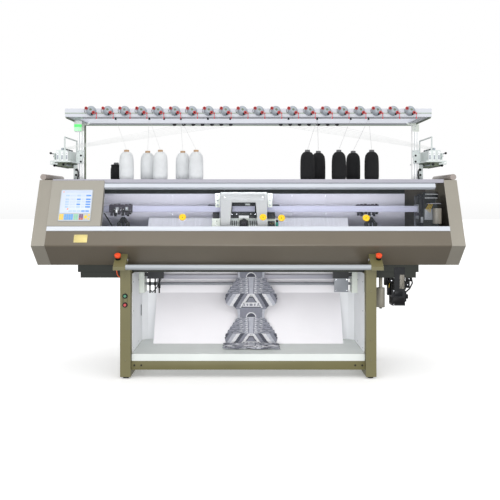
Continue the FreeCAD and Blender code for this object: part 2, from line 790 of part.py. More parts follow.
def carriage_bow():
    x0, x1 = CARRIAGE_X - BOW_HALF, CARRIAGE_X + BOW_HALF
    front = BED_Y - PORTAL_FRONT_OFF
    inner = front + PORTAL_DEPTH
    section = [
        (front, front + BOX_SLOPE),
        (front, BOW_TOP),
        (2 * BED_Y - front, BOW_TOP),
        (2 * BED_Y - front, front + BOX_SLOPE),
        (2 * BED_Y - inner, inner + BOX_SLOPE),
        (2 * BED_Y - inner, BOW_UNDER),
        (inner, BOW_UNDER),
        (inner, inner + BOX_SLOPE),
    ]
    window = [
        (CARRIAGE_X - BOW_WINDOW_LOW_HALF, WINDOW_FOOT),
        (CARRIAGE_X - BOW_WINDOW_TOP_HALF, BOW_UNDER),
        (CARRIAGE_X + BOW_WINDOW_TOP_HALF, BOW_UNDER),
        (CARRIAGE_X + BOW_WINDOW_LOW_HALF, WINDOW_FOOT),
    ]
    opening = prism_y(window, front - 1, 2 * BED_Y - front + 1)
    return prism_x(section, x0, x1).cut(opening)


def carriage_feeder_block():
    x0, x1 = CARRIAGE_X - BOW_WINDOW_TOP_HALF + 5, CARRIAGE_X + BOW_WINDOW_TOP_HALF - 5
    rail_y = BED_Y - YARN_RAIL_PITCH + YARN_RAIL_THICK / 2
    hanger = box(x0, x1, rail_y + 10, rail_y + 20, YARN_RAIL_Z - 3, BOW_UNDER)
    front_y = box_outline()[5][0]
    foot = box(x0, x1, front_y + 2, front_y + 42, BOX_TOP, YARN_RAIL_Z - 9)
    return [hanger, foot]


def yarn_carrier(x, side):
    """Clamps over the front or rear yarn rail, with two thin legs down towards the needles."""
    y = BED_Y - YARN_RAIL_PITCH
    half = YARN_RAIL_THICK / 2 + CLEAR
    low, high = YARN_RAIL_Z - CLAMP_UNDER, YARN_RAIL_Z + YARN_RAIL_HEIGHT
    x0, x1 = x - CARRIER_HALF, x + CARRIER_HALF
    body = box(x0, x1, y - half - CLAMP_FRONT, y + half + CLAMP_BACK, low, high + CLAMP_OVER)
    slot = box(x0 - 1, x1 + 1, y - half, y + half, low - 1, high + CLEAR)
    body = body.cut(slot)
    tip_z = BED_APEX_Z + CARRIER_TIP_RISE
    tip_y = BED_Y - CARRIER_TIP_OFF
    for end in (-1, 1):
        leg_x = x + end * CARRIER_HALF * CARRIER_LEG_SHARE
        top_y = y + half
        outline = [(top_y, low), (top_y + CLAMP_BACK, low)]
        outline += [(tip_y, tip_z), (tip_y - CARRIER_TIP_WIDTH, tip_z)]
        leg = prism_x(outline, leg_x - CARRIER_LEG_HALF, leg_x + CARRIER_LEG_HALF)
        body = body.fuse(leg)
    body = body.removeSplitter()
    return body if side < 0 else body.mirror(V(0, BED_Y, 0), V(0, 1, 0))


# ---- controls ----
def bracket_outline():
    return [
        (FRONT, LEG_TOP),
        (FRONT, BRACKET_NOSE_Z),
        (FRONT + BRACKET_TOP_BACK, BRACKET_TOP_Z),
        (FRONT + BRACKET_REAR_BACK, BRACKET_REAR_Z),
        (FRONT + BRACKET_REAR_BACK, LEG_TOP),
    ]


def estop_point(side, height):
    """A point on the emergency stop's axis, a height above the bracket's slope."""
    y = FRONT + ESTOP_ALONG * BRACKET_COS - height * BRACKET_SIN
    z = BRACKET_NOSE_Z + ESTOP_ALONG * BRACKET_SIN + height * BRACKET_COS
    return (side * ESTOP_SIDE, y, z)


def bar_brackets():
    brackets = []
    for side in (-1, 1):
        x0, x1 = sorted((side * BRACKET_INNER_X, side * (BRACKET_INNER_X + BRACKET_WIDTH)))
        outline = bracket_outline()
        inside = offset_line(outline, -SHEET, closed=True)
        inside[0] = (inside[0][0], LEG_TOP - 1)
        inside[-1] = (inside[-1][0], LEG_TOP - 1)
        shell = prism_x(outline, x0, x1).cut(prism_x(inside, x0 + SHEET, x1 - SHEET))
        hole_x = side * BRACKET_INNER_X
        reach = side * (SHEET + 1)
        bore = rod(BAR_JOURNAL_R + RUNNING, (hole_x - side, BAR_Y, BAR_Z), (hole_x + reach, BAR_Y, BAR_Z))
        stop_hole = rod(BARREL_R + CLEAR, estop_point(side, -SHEET - 1), estop_point(side, 1))
        brackets.append(shell.cut(bore).cut(stop_hole))
    return brackets


def button_point(z, out):
    return (BUTTON_X, LEG_FRONT_Y - out, z)


def collar(point, collar_r, height, bore_r):
    """A collar on a panel, with a barrel behind it and a bore right through."""
    outside = rod(collar_r, point(0.0), point(height)).fuse(rod(BARREL_R, point(-BARREL_DEPTH), point(0.0)))
    return outside.cut(rod(bore_r, point(-BARREL_DEPTH - 1), point(height + 1)))


def button_collars():
    solids = []
    for z in (BUTTON_GREEN_Z, BUTTON_RED_Z):
        point = lambda out, z=z: button_point(z, out)
        solids.append(collar(point, BUTTON_COLLAR_R, BUTTON_COLLAR, BUTTON_R + RUNNING))
    for side in (-1, 1):
        point = lambda out, side=side: estop_point(side, out)
        solids.append(collar(point, ESTOP_COLLAR_R, ESTOP_COLLAR, ESTOP_STEM_R + RUNNING))
    return solids


def push_button(z):
    return rod(BUTTON_R, button_point(z, -BARREL_DEPTH + 10), button_point(z, BUTTON_COLLAR + BUTTON_PROUD))


def estop(side):
    base = ESTOP_COLLAR + ESTOP_TRAVEL_GAP
    stem = rod(ESTOP_STEM_R, estop_point(side, -BARREL_DEPTH + 10), estop_point(side, base))
    knob = rod(ESTOP_R, estop_point(side, base), estop_point(side, base + KNOB))
    return stem.fuse(knob)


def start_bar():
    x = BRACKET_INNER_X - CLEAR
    tip = BRACKET_INNER_X + SHEET + 3
    bar = rod(BAR_R, (-x, BAR_Y, BAR_Z), (x, BAR_Y, BAR_Z))
    return bar.fuse(rod(BAR_JOURNAL_R, (-tip, BAR_Y, BAR_Z), (tip, BAR_Y, BAR_Z)))


def roller(radius, y, z):
    tip = LEG_INNER_X - 14
    drum = rod(radius, (-ROLLER_HALF, y, z), (ROLLER_HALF, y, z))
    return drum.fuse(rod(ROLLER_JOURNAL_R, (-tip, y, z), (tip, y, z)))


def roller_bearings():
    blocks = []
    for side in (-1, 1):
        inner = LEG_INNER_X - BLOCK_WIDTH
        x0, x1 = sorted((side * inner, side * LEG_INNER_X))
        block = box(x0, x1, BLOCK_FRONT_Y, TIE_Y + TIE_DEPTH + 5, BLOCK_LOW, NIP_Z + TAKEDOWN_R + 1)
        for _, y, z in ROLLERS.values():
            start, end = (side * (inner - 1), y, z), (side * (LEG_INNER_X - 12), y, z)
            block = block.cut(rod(ROLLER_JOURNAL_R + RUNNING, start, end))
        blocks.append(block)
    return blocks


def takedown_motors():
    y = GIRDER_FRONT_Y
    motor = box(MOTOR_X - MOTOR_HALF, MOTOR_X + MOTOR_HALF, y, y + MOTOR_DEPTH, MOTOR_LOW, MOTOR_HIGH)
    shaft_y = y + MOTOR_DEPTH
    motor = motor.fuse(rod(30, (MOTOR_X, shaft_y, MOTOR_LOW + 49), (MOTOR_X, shaft_y + 60, MOTOR_LOW + 49)))
    solids = [motor]
    block_x = LEG_INNER_X - BLOCK_WIDTH
    for side in (-1, 1):
        x0, x1 = sorted((side * DRIVE_X, side * (DRIVE_X + DRIVE_WIDTH)))
        drive_back = BLOCK_FRONT_Y + DRIVE_FOOT
        drive = box(x0, x1, drive_back - DRIVE_DEPTH, drive_back, DRIVE_LOW, DRIVE_HIGH)
        x0, x1 = sorted((side * DRIVE_X, side * block_x))
        arm = box(x0, x1, BLOCK_FRONT_Y, drive_back, DRIVE_LOW + 12, DRIVE_HIGH - 12)
        solids.append(drive.fuse(arm))
    return solids


def motor_hanger():
    y = GIRDER_FRONT_Y
    x0, x1 = MOTOR_X - 29, MOTOR_X + MOTOR_HALF - 2
    return box(x0, x1, y - HANGER, y, MOTOR_LOW, LOW_Z - 16)


def suction_filter():
    bowl = rod(FILTER_R, (FILTER_X, FILTER_Y, FILTER_LOW), (FILTER_X, FILTER_Y, FILTER_HIGH))
    neck = rod(12, (FILTER_X, FILTER_Y, FILTER_HIGH), (FILTER_X, FILTER_Y, DUCT_LOW))
    return bowl.fuse(neck)


def swept_tube(radius, edges):
    wire = Part.Wire(edges)
    start = edges[0].Vertexes[0].Point
    tangent = edges[0].tangentAt(edges[0].FirstParameter)
    profile = Part.Wire(Part.makeCircle(radius, start, tangent))
    return wire.makePipeShell([profile], True, False)


def routed_tube(radius, points, bends, name):
    """Straight runs joined by tangent arcs; bends holds one radius for each inner point."""
    points = [V(*p) for p in points]
    edges = []
    at = points[0]
    for i, bend in enumerate(bends, start=1):
        before = (points[i - 1] - points[i]).normalize()
        after = (points[i + 1] - points[i]).normalize()
        turn = math.pi - before.getAngle(after)
        cut = bend * math.tan(turn / 2)
        start, end = points[i] + before * cut, points[i] + after * cut
        middle_way = (before + after).normalize()
        middle = points[i] + middle_way * (bend / math.cos(turn / 2) - bend)
        edges.append(Part.LineSegment(at, start).toShape())
        edges.append(Part.Arc(start, middle, end).toShape())
        at = end
        print(f"{name}: bend {i} radius {bend:.1f}, turn {math.degrees(turn):.0f} degrees")
    edges.append(Part.LineSegment(at, points[-1]).toShape())
    return swept_tube(radius, edges)


def suction_hose():
    middle = (DUCT_LOW + MOTOR_HIGH) / 2
    points = [
        (HOSE_START_X, FILTER_Y, DUCT_LOW),
        (HOSE_START_X, FILTER_Y, middle),
        (MOTOR_X, FILTER_Y, middle),
        (MOTOR_X, FILTER_Y, MOTOR_HIGH),
    ]
    return routed_tube(HOSE_R, points, [HOSE_BEND, HOSE_BEND], "suction_hose")


def estop_cable():
    """Runs from the left bracket's bottom into the outer face of the left leg."""
    x = -LEG_OUTER_X - CABLE_BEND - 1
    y = FRONT + BRACKET_REAR_BACK - SHEET - CABLE_R - 18
    low = LEG_TOP - 26 - CABLE_BEND
    points = [(x, y, LEG_TOP + 10), (x, y, low), (-LEG_OUTER_X, y, low)]
    return routed_tube(CABLE_R, points, [CABLE_BEND], "estop_cable")


def fabric_tray():
    low = BEAM_Z + BEAM_HEIGHT
    y = FRONT_BEAM_Y
    line = [(y, low), (y, TRAY_FLOOR), (y + TRAY_DEPTH, TRAY_FLOOR)]
    half = LEG_INNER_X - BOARD_THICK - CLEAR
    return prism_x(folded(line, -SHEET), -half, half)


def fabric_board():
    foot = TRAY_FLOOR + 1.5
    back = BOARD_FRONT_Y + BOARD_LEAN
    line = [(BOARD_FRONT_Y, foot), (back, foot + BOARD_RISE), (back, GIRDER_Z - CLEAR)]
    return prism_x(folded(line, -BOARD_THICK), -BOARD_HALF, BOARD_HALF)


def bay_panels():
    t = BOARD_THICK
    x = LEG_INNER_X - t
    line = [
        (-x, LEG_FRONT_Y + LEG + 4),
        (-x, BED_Y + 100),
        (-x + 37, BED_Y + 135),
        (-BOARD_HALF - CLEAR, BOARD_FRONT_Y + BOARD_LEAN),
    ]
    left = folded(line, t)
    right = [(-x, y) for x, y in left]
    low = TRAY_FLOOR + CLEAR
    panels = []
    for side, outline in ((-1, left), (1, right)):
        x0, x1 = sorted((side * x, side * LEG_INNER_X))
        wall = box(x0, x1, line[0][1], -WALL_BACK, low, GIRDER_Z - CLEAR)
        panels.append(prism_z(outline, low, BAY_PANEL_TOP).fuse(wall).removeSplitter())
    return panels


def knitted_fabric():
    half = FABRIC_THICK / 2
    rest = TRAY_FLOOR + CLEAR + half
    lean = BOARD_LEAN / BOARD_RISE
    off = BOARD_FRONT_Y - 6.0
    high = TRAY_FLOOR + (BED_Y - off) / lean
    low = TRAY_FLOOR + 17
    line = [
        (BED_Y, BED_APEX_Z - 7),
        (BED_Y, high),
        (off + (low - TRAY_FLOOR) * lean, low),
        (off - 14, rest),
        (FABRIC_END_Y, rest),
    ]
    outline = offset_line(line, half) + offset_line(line, -half)[::-1]
    return prism_x(outline, FABRIC_LEFT_X, FABRIC_LEFT_X + FABRIC_WIDTH)


# ---- rack ----
def rack_posts():
    posts = []
    half = POST / 2
    for side in (-1, 1):
        x = side * POST_X
        tube = box(x - half, x + half, POST_Y, POST_Y + POST, TABLE_TOP, RACK_Z)
        wall = POST_WALL
        y0, y1 = POST_Y + wall, POST_Y + POST - wall
        hollow = box(x - half + wall, x + half - wall, y0, y1, TABLE_TOP - 1, RACK_Z + 1)
        posts.append(tube.cut(hollow))
    return posts


def rack_frame():
    t = SHEET
    x = RACK_HALF
    front = RACK_FRONT_Y
    channel_back = front + CHANNEL_DEPTH
    beam_back = REAR_BEAM_Y + REAR_BEAM_DEPTH
    z = RACK_Z
    parts = [
        box(-x, x, front, channel_back, z, z + t),
        box(-x, x, front, front + t, z, RACK_TOP),
        box(-x, x, channel_back - t, channel_back, z, z + REAR_BEAM_WALL),
        box(-x, x, REAR_BEAM_Y, beam_back, z, z + t),
        box(-x, x, REAR_BEAM_Y, REAR_BEAM_Y + t, z, z + REAR_BEAM_WALL),
        box(-x, x, beam_back - t, beam_back, z, z + REAR_BEAM_WALL),
    ]
    for side in (-1, 1):
        a, b = sorted((side * x, side * (x - t)))
        parts.append(box(a, b, front, beam_back, z, RACK_TOP))
        a, b = sorted((side * x, side * (x - RACK_FLANGE)))
        parts.append(box(a, b, channel_back - t, REAR_BEAM_Y + t, z, z + t))
    return parts[0].fuse(parts[1:]).removeSplitter()


def tensioner_stations():
    left = TENSIONER_MIDDLE - TENSIONER_RUN / 2
    return [left + TENSIONER_RUN * i / (TENSIONERS - 1) for i in range(TENSIONERS)]


def tensioners():
    solids = []
    y0, y1 = RACK_FRONT_Y - TENSIONER_DEPTH, RACK_FRONT_Y
    for x in tensioner_stations():
        r = TENSIONER_R
        z = TENSIONER_Z
        low = z - TENSIONER_FOOT
        foot = r - TENSIONER_TAPER
        edges = [
            Part.LineSegment(V(x - r, y0, z), V(x - foot, y0, low)).toShape(),
            Part.LineSegment(V(x - foot, y0, low), V(x + foot, y0, low)).toShape(),
            Part.LineSegment(V(x + foot, y0, low), V(x + r, y0, z)).toShape(),
            Part.Arc(V(x + r, y0, z), V(x, y0, z + r), V(x - r, y0, z)).toShape(),
        ]
        body = Part.Face(Part.Wire(edges)).extrude(V(0, y1 - y0, 0))
        pin = rod(ARM_PIN_R, (x, ARM_Y, ARM_Z), (x + ARM_OFF + PIN_PROUD, ARM_Y, ARM_Z))
        solids.append(body.fuse(pin))
        for dx, dz in ((-foot, DISC_SHIFT), (foot - TENSIONER_TAPER, -DISC_SHIFT)):
            solids.append(rod(DISC_R, (x + dx, y0 - DISC_PROUD, z + dz), (x + dx, y0, z + dz)))
    return solids


def tension_arms():
    arms = []
    for x in tensioner_stations():
        a = x + ARM_OFF
        half = ARM_WIRE / 2
        low = ARM_Z - ARM_LENGTH
        hub = rod(ARM_HUB_R, (a, ARM_Y, ARM_Z), (a + ARM_HUB, ARM_Y, ARM_Z))
        wire = box(a + half, a + half + ARM_WIRE, ARM_Y - half, ARM_Y + half, low, ARM_Z)
        tip = rod(ARM_TIP_R, (a - 1, ARM_Y, low), (a + ARM_HUB + 1, ARM_Y, low))
        bore = rod(ARM_PIN_R + RUNNING, (a - 2, ARM_Y, ARM_Z), (a + ARM_HUB + 2, ARM_Y, ARM_Z))
        arms.append(hub.fuse([wire, tip]).cut(bore))
    return arms


def lower_eyelets():
    lefts = [LOWER_EYELET_LEFT + LOWER_EYELET_PITCH * i for i in range(LOWER_EYELETS)]
    rights = [LOWER_EYELET_RIGHT + LOWER_EYELET_PITCH * i for i in range(LOWER_EYELETS)]
    return lefts, rights


def rack_eyelets():
    lefts, rights = lower_eyelets()
    places = [(x, UPPER_EYELET_Y) for x in UPPER_EYELETS]
    places += [(x, LOWER_EYELET_Y) for x in lefts + rights]
    low = RACK_Z - EYELET_HEIGHT
    return [ring(EYELET_R, EYELET_R - 3.5, (x, y, low), (x, y, RACK_Z)) for x, y in places]


def signal_lamp():
    x, y = -(RACK_HALF - SHEET - LAMP_R), -150.0
    base = rod(LAMP_R - 8, (x, y, RACK_Z - 15), (x, y, RACK_Z))
    return base.fuse(rod(LAMP_R, (x, y, RACK_Z - LAMP_HEIGHT), (x, y, RACK_Z - 15)))


def post_cable():
    """Clipped to the inner face of the left post, from the table to the rack."""
    x = -POST_X + POST / 2 + POST_CABLE_R + CLEAR
    y = POST_Y + POST / 2
    return rod(POST_CABLE_R, (x, y, TABLE_TOP), (x, y, RACK_Z))


def guide_stations():
    return [-FEEDER_FRONT + 30 + GUIDE_PITCH * i for i in range(GUIDES)]


def side_feeder(side):
    y0, y1 = -FEEDER_FRONT, -FEEDER_FRONT + FEEDER_LENGTH
    outer, inner = FEEDER_OUTER, FEEDER_OUTER - FEEDER_WIDTH
    z0, z1 = FEEDER_Z, FEEDER_Z + FEEDER_BODY

    def slab(xa, xb, ya, yb, za, zb):
        a, b = sorted((side * xa, side * xb))
        return box(a, b, ya, yb, za, zb)

    flange = z0 + FEEDER_FLANGE
    casting = slab(inner, outer, y0, y1, z0, flange)
    casting = casting.fuse(slab(inner + FEEDER_INNER_STEP, outer - FEEDER_OUTER_STEP, y0, y1, flange, z1))
    ya, yb = FEEDER_FOOT_Y, FEEDER_FOOT_Y + FEEDER_FOOT_DEPTH
    casting = casting.fuse(slab(inner + FEEDER_FOOT_IN, inner + FEEDER_FOOT_OUT, ya, yb, TABLE_TOP, z0))
    post_face = POST_X + POST / 2
    arm = slab(post_face, inner + 1, POST_Y, POST_Y + POST, z0, z0 + FEEDER_ARM_HEIGHT)
    casting = casting.fuse(arm)
    axis_x, axis_z = outer + ROLLER_OUT, z0 - ROLLER_DROP
    ear_back = EAR_IN + EAR_THICK
    for ya, yb in ((y0 + EAR_IN, y0 + ear_back), (y1 - ear_back, y1 - EAR_IN)):
        ear = slab(outer - EAR_REACH, axis_x + EAR_HALF, ya, yb, axis_z - EAR_HALF, flange)
        start, end = (side * axis_x, ya - 1, axis_z), (side * axis_x, yb + 1, axis_z)
        bore = rod(FEEDER_JOURNAL_R + RUNNING, start, end)
        casting = casting.fuse(ear).cut(bore)
    middle = side * (inner + GUIDE_IN)
    guides = []
    for y in guide_stations():
        guides.append(ring(GUIDE_R, GUIDE_BORE_R, (middle, y, z1), (middle, y, z1 + GUIDE_HEIGHT)))
    high = z1 + HANDLE_HEIGHT
    r = HANDLE_R
    x = side * (inner + HANDLE_IN)
    front, back = y0 + HANDLE_FRONT, y1 - HANDLE_BACK
    bars = [rod(r, (x, y, z1), (x, y, high)) for y in (front, back)]
    bars.append(rod(r, (x, front - r, high), (x, back + r, high)))
    handle = bars[0].fuse(bars[1:])
    return [casting.removeSplitter(), handle] + guides


def feeder_roller(side):
    x = side * (FEEDER_OUTER + ROLLER_OUT)
    z = FEEDER_Z - ROLLER_DROP
    y0, y1 = -FEEDER_FRONT, -FEEDER_FRONT + FEEDER_LENGTH
    ear_back = EAR_IN + EAR_THICK + CLEAR
    drum = rod(FEEDER_ROLLER_R, (x, y0 + ear_back, z), (x, y1 - ear_back, z))
    return drum.fuse(rod(FEEDER_JOURNAL_R, (x, y0 + PIN_PROUD, z), (x, y1 - PIN_PROUD, z)))


# ---- cones and yarn ----
def cone(x, y, radius=CONE_R, height=CONE_HEIGHT):
    top_r = radius * CONE_TOP_R / CONE_R
    s = CONE_SHOULDER
    z = TABLE_TOP
    profile = [
        (CORE_R, z),
        (radius, z),
        (top_r, z + height - s),
        (top_r - s, z + height),
        (CORE_R, z + height),
    ]
    wire = Part.makePolygon([V(r, 0, h) for r, h in profile + profile[:1]])
    solid = Part.Face(wire).revolve(V(0, 0, 0), V(0, 0, 1), 360)
    solid.translate(V(x, y, 0))
    return solid


def core(x, y, height=CONE_HEIGHT):
    outer = CORE_R - CLEAR
    return ring(outer, outer - CORE_WALL, (x, y, TABLE_TOP), (x, y, TABLE_TOP + height + CORE_PROUD))


def white_cones():
    return [cone(x, y) for x, y in WHITE_PLACES]


def black_cones():
    tall = [cone(x, y) for x, y in BLACK_PLACES]
    return tall + [cone(SHORT_CONE_X, CONE_BACK_Y, SHORT_CONE_R, SHORT_CONE_HEIGHT)]


def cone_cores():
    cores = [core(x, y) for x, y in WHITE_PLACES + BLACK_PLACES]
    return cores + [core(SHORT_CONE_X, CONE_BACK_Y, SHORT_CONE_HEIGHT)]


def yarn_strands():
    """Taut yarns: from each cone up to its nearest eyelet, and from the rack to the side feeders."""
    strands = []
    tip = TABLE_TOP + CONE_HEIGHT + CORE_PROUD
    eye = RACK_Z - EYELET_HEIGHT
    for x, y in WHITE_PLACES + BLACK_PLACES:
        nearest = min(UPPER_EYELETS, key=lambda e: abs(e - x))
        beside = 3 * YARN_R if x > nearest else -3 * YARN_R
        strands.append(rod(YARN_R, (x, y, tip), (nearest + beside, UPPER_EYELET_Y, eye)))
    lefts, rights = lower_eyelets()
    target = FEEDER_OUTER - FEEDER_WIDTH + 60
    high = FEEDER_Z + FEEDER_BODY + 16
    for side, eyelets in ((-1, lefts), (1, rights[::-1])):
        for x, y in zip(eyelets, guide_stations()):
            strands.append(rod(YARN_R, (x, LOWER_EYELET_Y, eye), (side * target, y, high)))
    return strands


def main():
    os.makedirs("parts", exist_ok=True)
    track_gap = HOUSING_RIGHT_X + HOUSING_GAP + 2
    track_end = INNER - TRACK_END_GAP - CLEAR
    nodes = {
        "side_frame_left": side_frame(-1),
        "side_frame_right": side_frame(1),
        "levelling_feet": levelling_feet(),
        "cross_beams": cross_beams(),
        "bed_girder": bed_girder(),
        "base_pan": base_pan(),
        "bed_supports": bed_supports(),
        "needle_bed_front": prism_x(bed_outline(), -BED_HALF, BED_HALF),
        "needle_bed_rear": prism_x(mirrored_y(bed_outline()), -BED_HALF, BED_HALF),
        "bed_rails": guide_rails() + yarn_rails(),
        "front_fascia": front_fascia(),
        "rear_cover": rear_cover(),
        "end_cap_left": end_cap(-1),
        "end_cap_right": end_cap(1),
        "grab_tubes": grab_tubes(),
        "cone_table": cone_table(),
        "cover_tracks": cover_tracks(),
        "cover_left": sliding_cover(track_gap, COVERS_MEET_X, COVER_FRONT_V, PULLS_LEFT),
        "cover_right": sliding_cover(COVERS_MEET_X, track_end, COVER_REAR_V, PULLS_RIGHT),
        "control_housing": control_housing(),
        "touch_panel": touch_panel(),
        "inner_back_plate": inner_back_plate(),
        "end_drive_unit": end_drive_unit(),
        "carriage_boxes": carriage_boxes(),
        "carriage_bow": carriage_bow(),
        "carriage_feeder_block": carriage_feeder_block(),
        "yarn_carrier_left": yarn_carrier(CARRIER_LEFT_X, -1),
        "yarn_carrier_right": yarn_carrier(CARRIER_RIGHT_X, 1),
        "bar_brackets": bar_brackets(),
        "button_collars": button_collars(),
        "green_button": push_button(BUTTON_GREEN_Z),
        "red_button": push_button(BUTTON_RED_Z),
        "estop_left": estop(-1),
        "estop_right": estop(1),
        "start_bar": start_bar(),
        "roller_bearings": roller_bearings(),
        "takedown_motors": takedown_motors() + [motor_hanger()],
        "suction_filter": suction_filter(),
        "service_lines": [suction_hose(), estop_cable(), post_cable()],
        "fabric_tray": fabric_tray(),
        "fabric_board": fabric_board(),
        "bay_panels": bay_panels(),
        "knitted_fabric": knitted_fabric(),
        "rack_posts": rack_posts(),
        "rack_frame": rack_frame(),
        "tensioners": tensioners(),
        "tension_arms": tension_arms(),
        "rack_eyelets": rack_eyelets(),
        "signal_lamp": signal_lamp(),
        "side_feeder_left": side_feeder(-1),
        "side_feeder_right": side_feeder(1),
        "feeder_roller_left": feeder_roller(-1),
        "feeder_roller_right": feeder_roller(1),
        "white_cones": white_cones(),
        "black_cones": black_cones(),
        "cone_cores": cone_cores(),
        "yarn_strands": yarn_strands(),
    }
    for name, place in ROLLERS.items():
        nodes[name] = roller(*place)
    for node, solids in nodes.items():
        export(node, solids)
    print(len(nodes), "nodes")


main()
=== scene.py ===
import math

import bmesh
import bpy
from mathutils import Matrix, Vector


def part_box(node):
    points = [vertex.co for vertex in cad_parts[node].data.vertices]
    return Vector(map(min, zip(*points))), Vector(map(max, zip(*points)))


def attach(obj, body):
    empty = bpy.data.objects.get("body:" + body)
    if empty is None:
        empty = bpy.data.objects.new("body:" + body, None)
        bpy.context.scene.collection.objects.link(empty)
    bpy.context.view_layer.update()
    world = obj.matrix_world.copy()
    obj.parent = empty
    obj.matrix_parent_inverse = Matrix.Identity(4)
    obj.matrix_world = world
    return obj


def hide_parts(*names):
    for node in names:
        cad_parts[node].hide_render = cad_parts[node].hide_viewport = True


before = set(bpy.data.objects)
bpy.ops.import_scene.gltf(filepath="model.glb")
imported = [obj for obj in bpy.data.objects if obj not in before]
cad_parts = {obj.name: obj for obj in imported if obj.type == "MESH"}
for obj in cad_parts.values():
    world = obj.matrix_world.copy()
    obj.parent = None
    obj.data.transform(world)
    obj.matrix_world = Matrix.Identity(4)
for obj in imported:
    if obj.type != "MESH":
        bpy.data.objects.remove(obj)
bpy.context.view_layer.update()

# Lengths below are in millimetres, in the machine's own frame, and become metres in the helpers.
MM = 0.001
UP, FORWARD = (0, 0, 1), (0, -1, 0)
SHARP = 38                  # degrees, past which an edge is drawn sharp
SILL_Y, SILL_Z = -360, 945  # the edge where the covers meet the fascia
TABLE_TOP, RACK_LOW = 1285, 1680
PLATE_Y = 226               # front of the plate behind the beds
BOX_SLOPE = 1084            # z less y on the sloping front of a cam box
POST_X, GUIDE_X = 1165, 1250
GUIDE_Y = [-160 + 25 * i for i in range(12)]
EYELET_LOW = 1667
UPPER_EYELETS = (-862, -643, -547, -438, -262, -117, 262, 448, 666, 782)
LOWER_EYELETS = {-1: [-519 + 66 * i for i in range(7)], 1: [229 + 66 * i for i in range(7)]}
UPPER_Y, LOWER_Y = -335, 85
YARN = 1.6                  # diameter


def add_object(name, data):
    thing = bpy.data.objects.new(name, data)
    bpy.context.scene.collection.objects.link(thing)
    return thing


def set_inputs(node, **values):
    """Socket values by name, with _ for a space."""
    for key, value in values.items():
        node.inputs[key.replace("_", " ")].default_value = value


# ---- camera, lights, floor ----
def area_light(name, place, aim, size, energy):
    data = bpy.data.lights.new(name, "AREA")
    data.shape, data.energy = "RECTANGLE", energy
    data.size, data.size_y = size
    lamp = add_object(name, data)
    lamp.location, lamp.visible_camera = place, False
    lamp.rotation_euler = (Vector(aim) - Vector(place)).to_track_quat("-Z", "Y").to_euler()


lens = bpy.data.cameras.new("camera")
lens.lens, lens.sensor_width = 56.2, 36.0
lens.shift_x, lens.shift_y = 0.0035, -0.1
camera = add_object("camera", lens)
camera.location = (0, -5.41, 1.146)
camera.rotation_euler = (math.radians(90), 0, 0)
bpy.context.scene.camera = camera

area_light("key", (-1.6, -4.2, 4.4), (0, 0, 0.9), (3.2, 2.0), 30)
area_light("fill", (3.4, -4.4, 2.4), (0, 0, 0.9), (2.4, 2.4), 16)
area_light("low_front", (0, -5.7, 0.55), (0, 0, 0.45), (3.4, 0.9), 128)
area_light("inside", (0, -0.15, 1.235), (0, 0.22, 1.05), (2.1, 0.05), 3.4)
area_light("bay", (0, -0.3, 0.6), (0, 0.08, 0.3), (1.3, 0.06), 0.55)

# The world is darker below the horizon, so that undersides keep some shade.
world = bpy.data.worlds.new("world")
world.use_nodes = True
tree = world.node_tree
aim = tree.nodes.new("ShaderNodeTexCoord")
parts = tree.nodes.new("ShaderNodeSeparateXYZ")
level = tree.nodes.new("ShaderNodeMapRange")
set_inputs(level, From_Min=-0.35, From_Max=0.0, To_Min=0.28, To_Max=1.0)
tree.links.new(aim.outputs["Generated"], parts.inputs[0])
tree.links.new(parts.outputs["Z"], level.inputs["Value"])
tree.links.new(level.outputs["Result"], tree.nodes["Background"].inputs["Color"])
bpy.context.scene.world = world
bpy.context.scene.view_settings.view_transform = "Standard"


# ---- materials ----
M = {}
GRAIN_DEPTH = 0.0006   # in metres, as shader distances are
WORN_WIDTH = 0.003
WORN_PALER = 0.45


def linear(rgb):
    shares = [v / 255 for v in rgb]
    return [c / 12.92 if c <= 0.04045 else ((c + 0.055) / 1.055) ** 2.4 for c in shares]


class Nodes:
    """One material's node tree, in a few short calls."""

    def __init__(self, name):
        self.material = bpy.data.materials.new(name)
        self.material.use_nodes = True
        self.tree = self.material.node_tree
        self.shader = self.tree.nodes["Principled BSDF"]
        self.where = self.add("ShaderNodeTexCoord").outputs["Object"]

    def add(self, kind, **facts):
        node = self.tree.nodes.new(kind)
        for key, value in facts.items():
            setattr(node, key, value)
        return node

    def link(self, start, end):
        self.tree.links.new(start, end)

    def noise(self, scale, detail=3.0, stretch=(1, 1, 1)):
        mapping = self.add("ShaderNodeMapping")
        set_inputs(mapping, Scale=stretch)
        self.link(self.where, mapping.inputs["Vector"])
        node = self.add("ShaderNodeTexNoise")
        set_inputs(node, Scale=scale, Detail=detail)
        self.link(mapping.outputs[0], node.inputs["Vector"])
        return node.outputs["Fac"]

    def wave(self, scale, axis, distortion):
        node = self.add("ShaderNodeTexWave", bands_direction=axis)
        set_inputs(node, Scale=scale, Distortion=distortion)
        self.link(self.where, node.inputs["Vector"])
        return node.outputs["Fac"]

    def combine(self, operation, a, b):
        node = self.add("ShaderNodeMath", operation=operation)
        self.link(a, node.inputs[0])
        self.link(b, node.inputs[1])
        return node.outputs[0]

    def ramp(self, source, low, high, start=0.3, end=0.7):
        node = self.add("ShaderNodeValToRGB")
        first, last = node.color_ramp.elements
        first.position, last.position = start, end
        first.color, last.color = low, high
        self.link(source, node.inputs["Fac"])
        return node.outputs["Color"]

    def spread(self, source, low, high):
        node = self.add("ShaderNodeMapRange")
        set_inputs(node, From_Min=0.3, From_Max=0.7, To_Min=low, To_Max=high)
        self.link(source, node.inputs["Value"])
        return node.outputs["Result"]

    def bump(self, source, strength, distance):
        node = self.add("ShaderNodeBump")
        set_inputs(node, Strength=strength, Distance=distance)
        self.link(source, node.inputs["Height"])
        self.link(node.outputs[0], self.shader.inputs["Normal"])


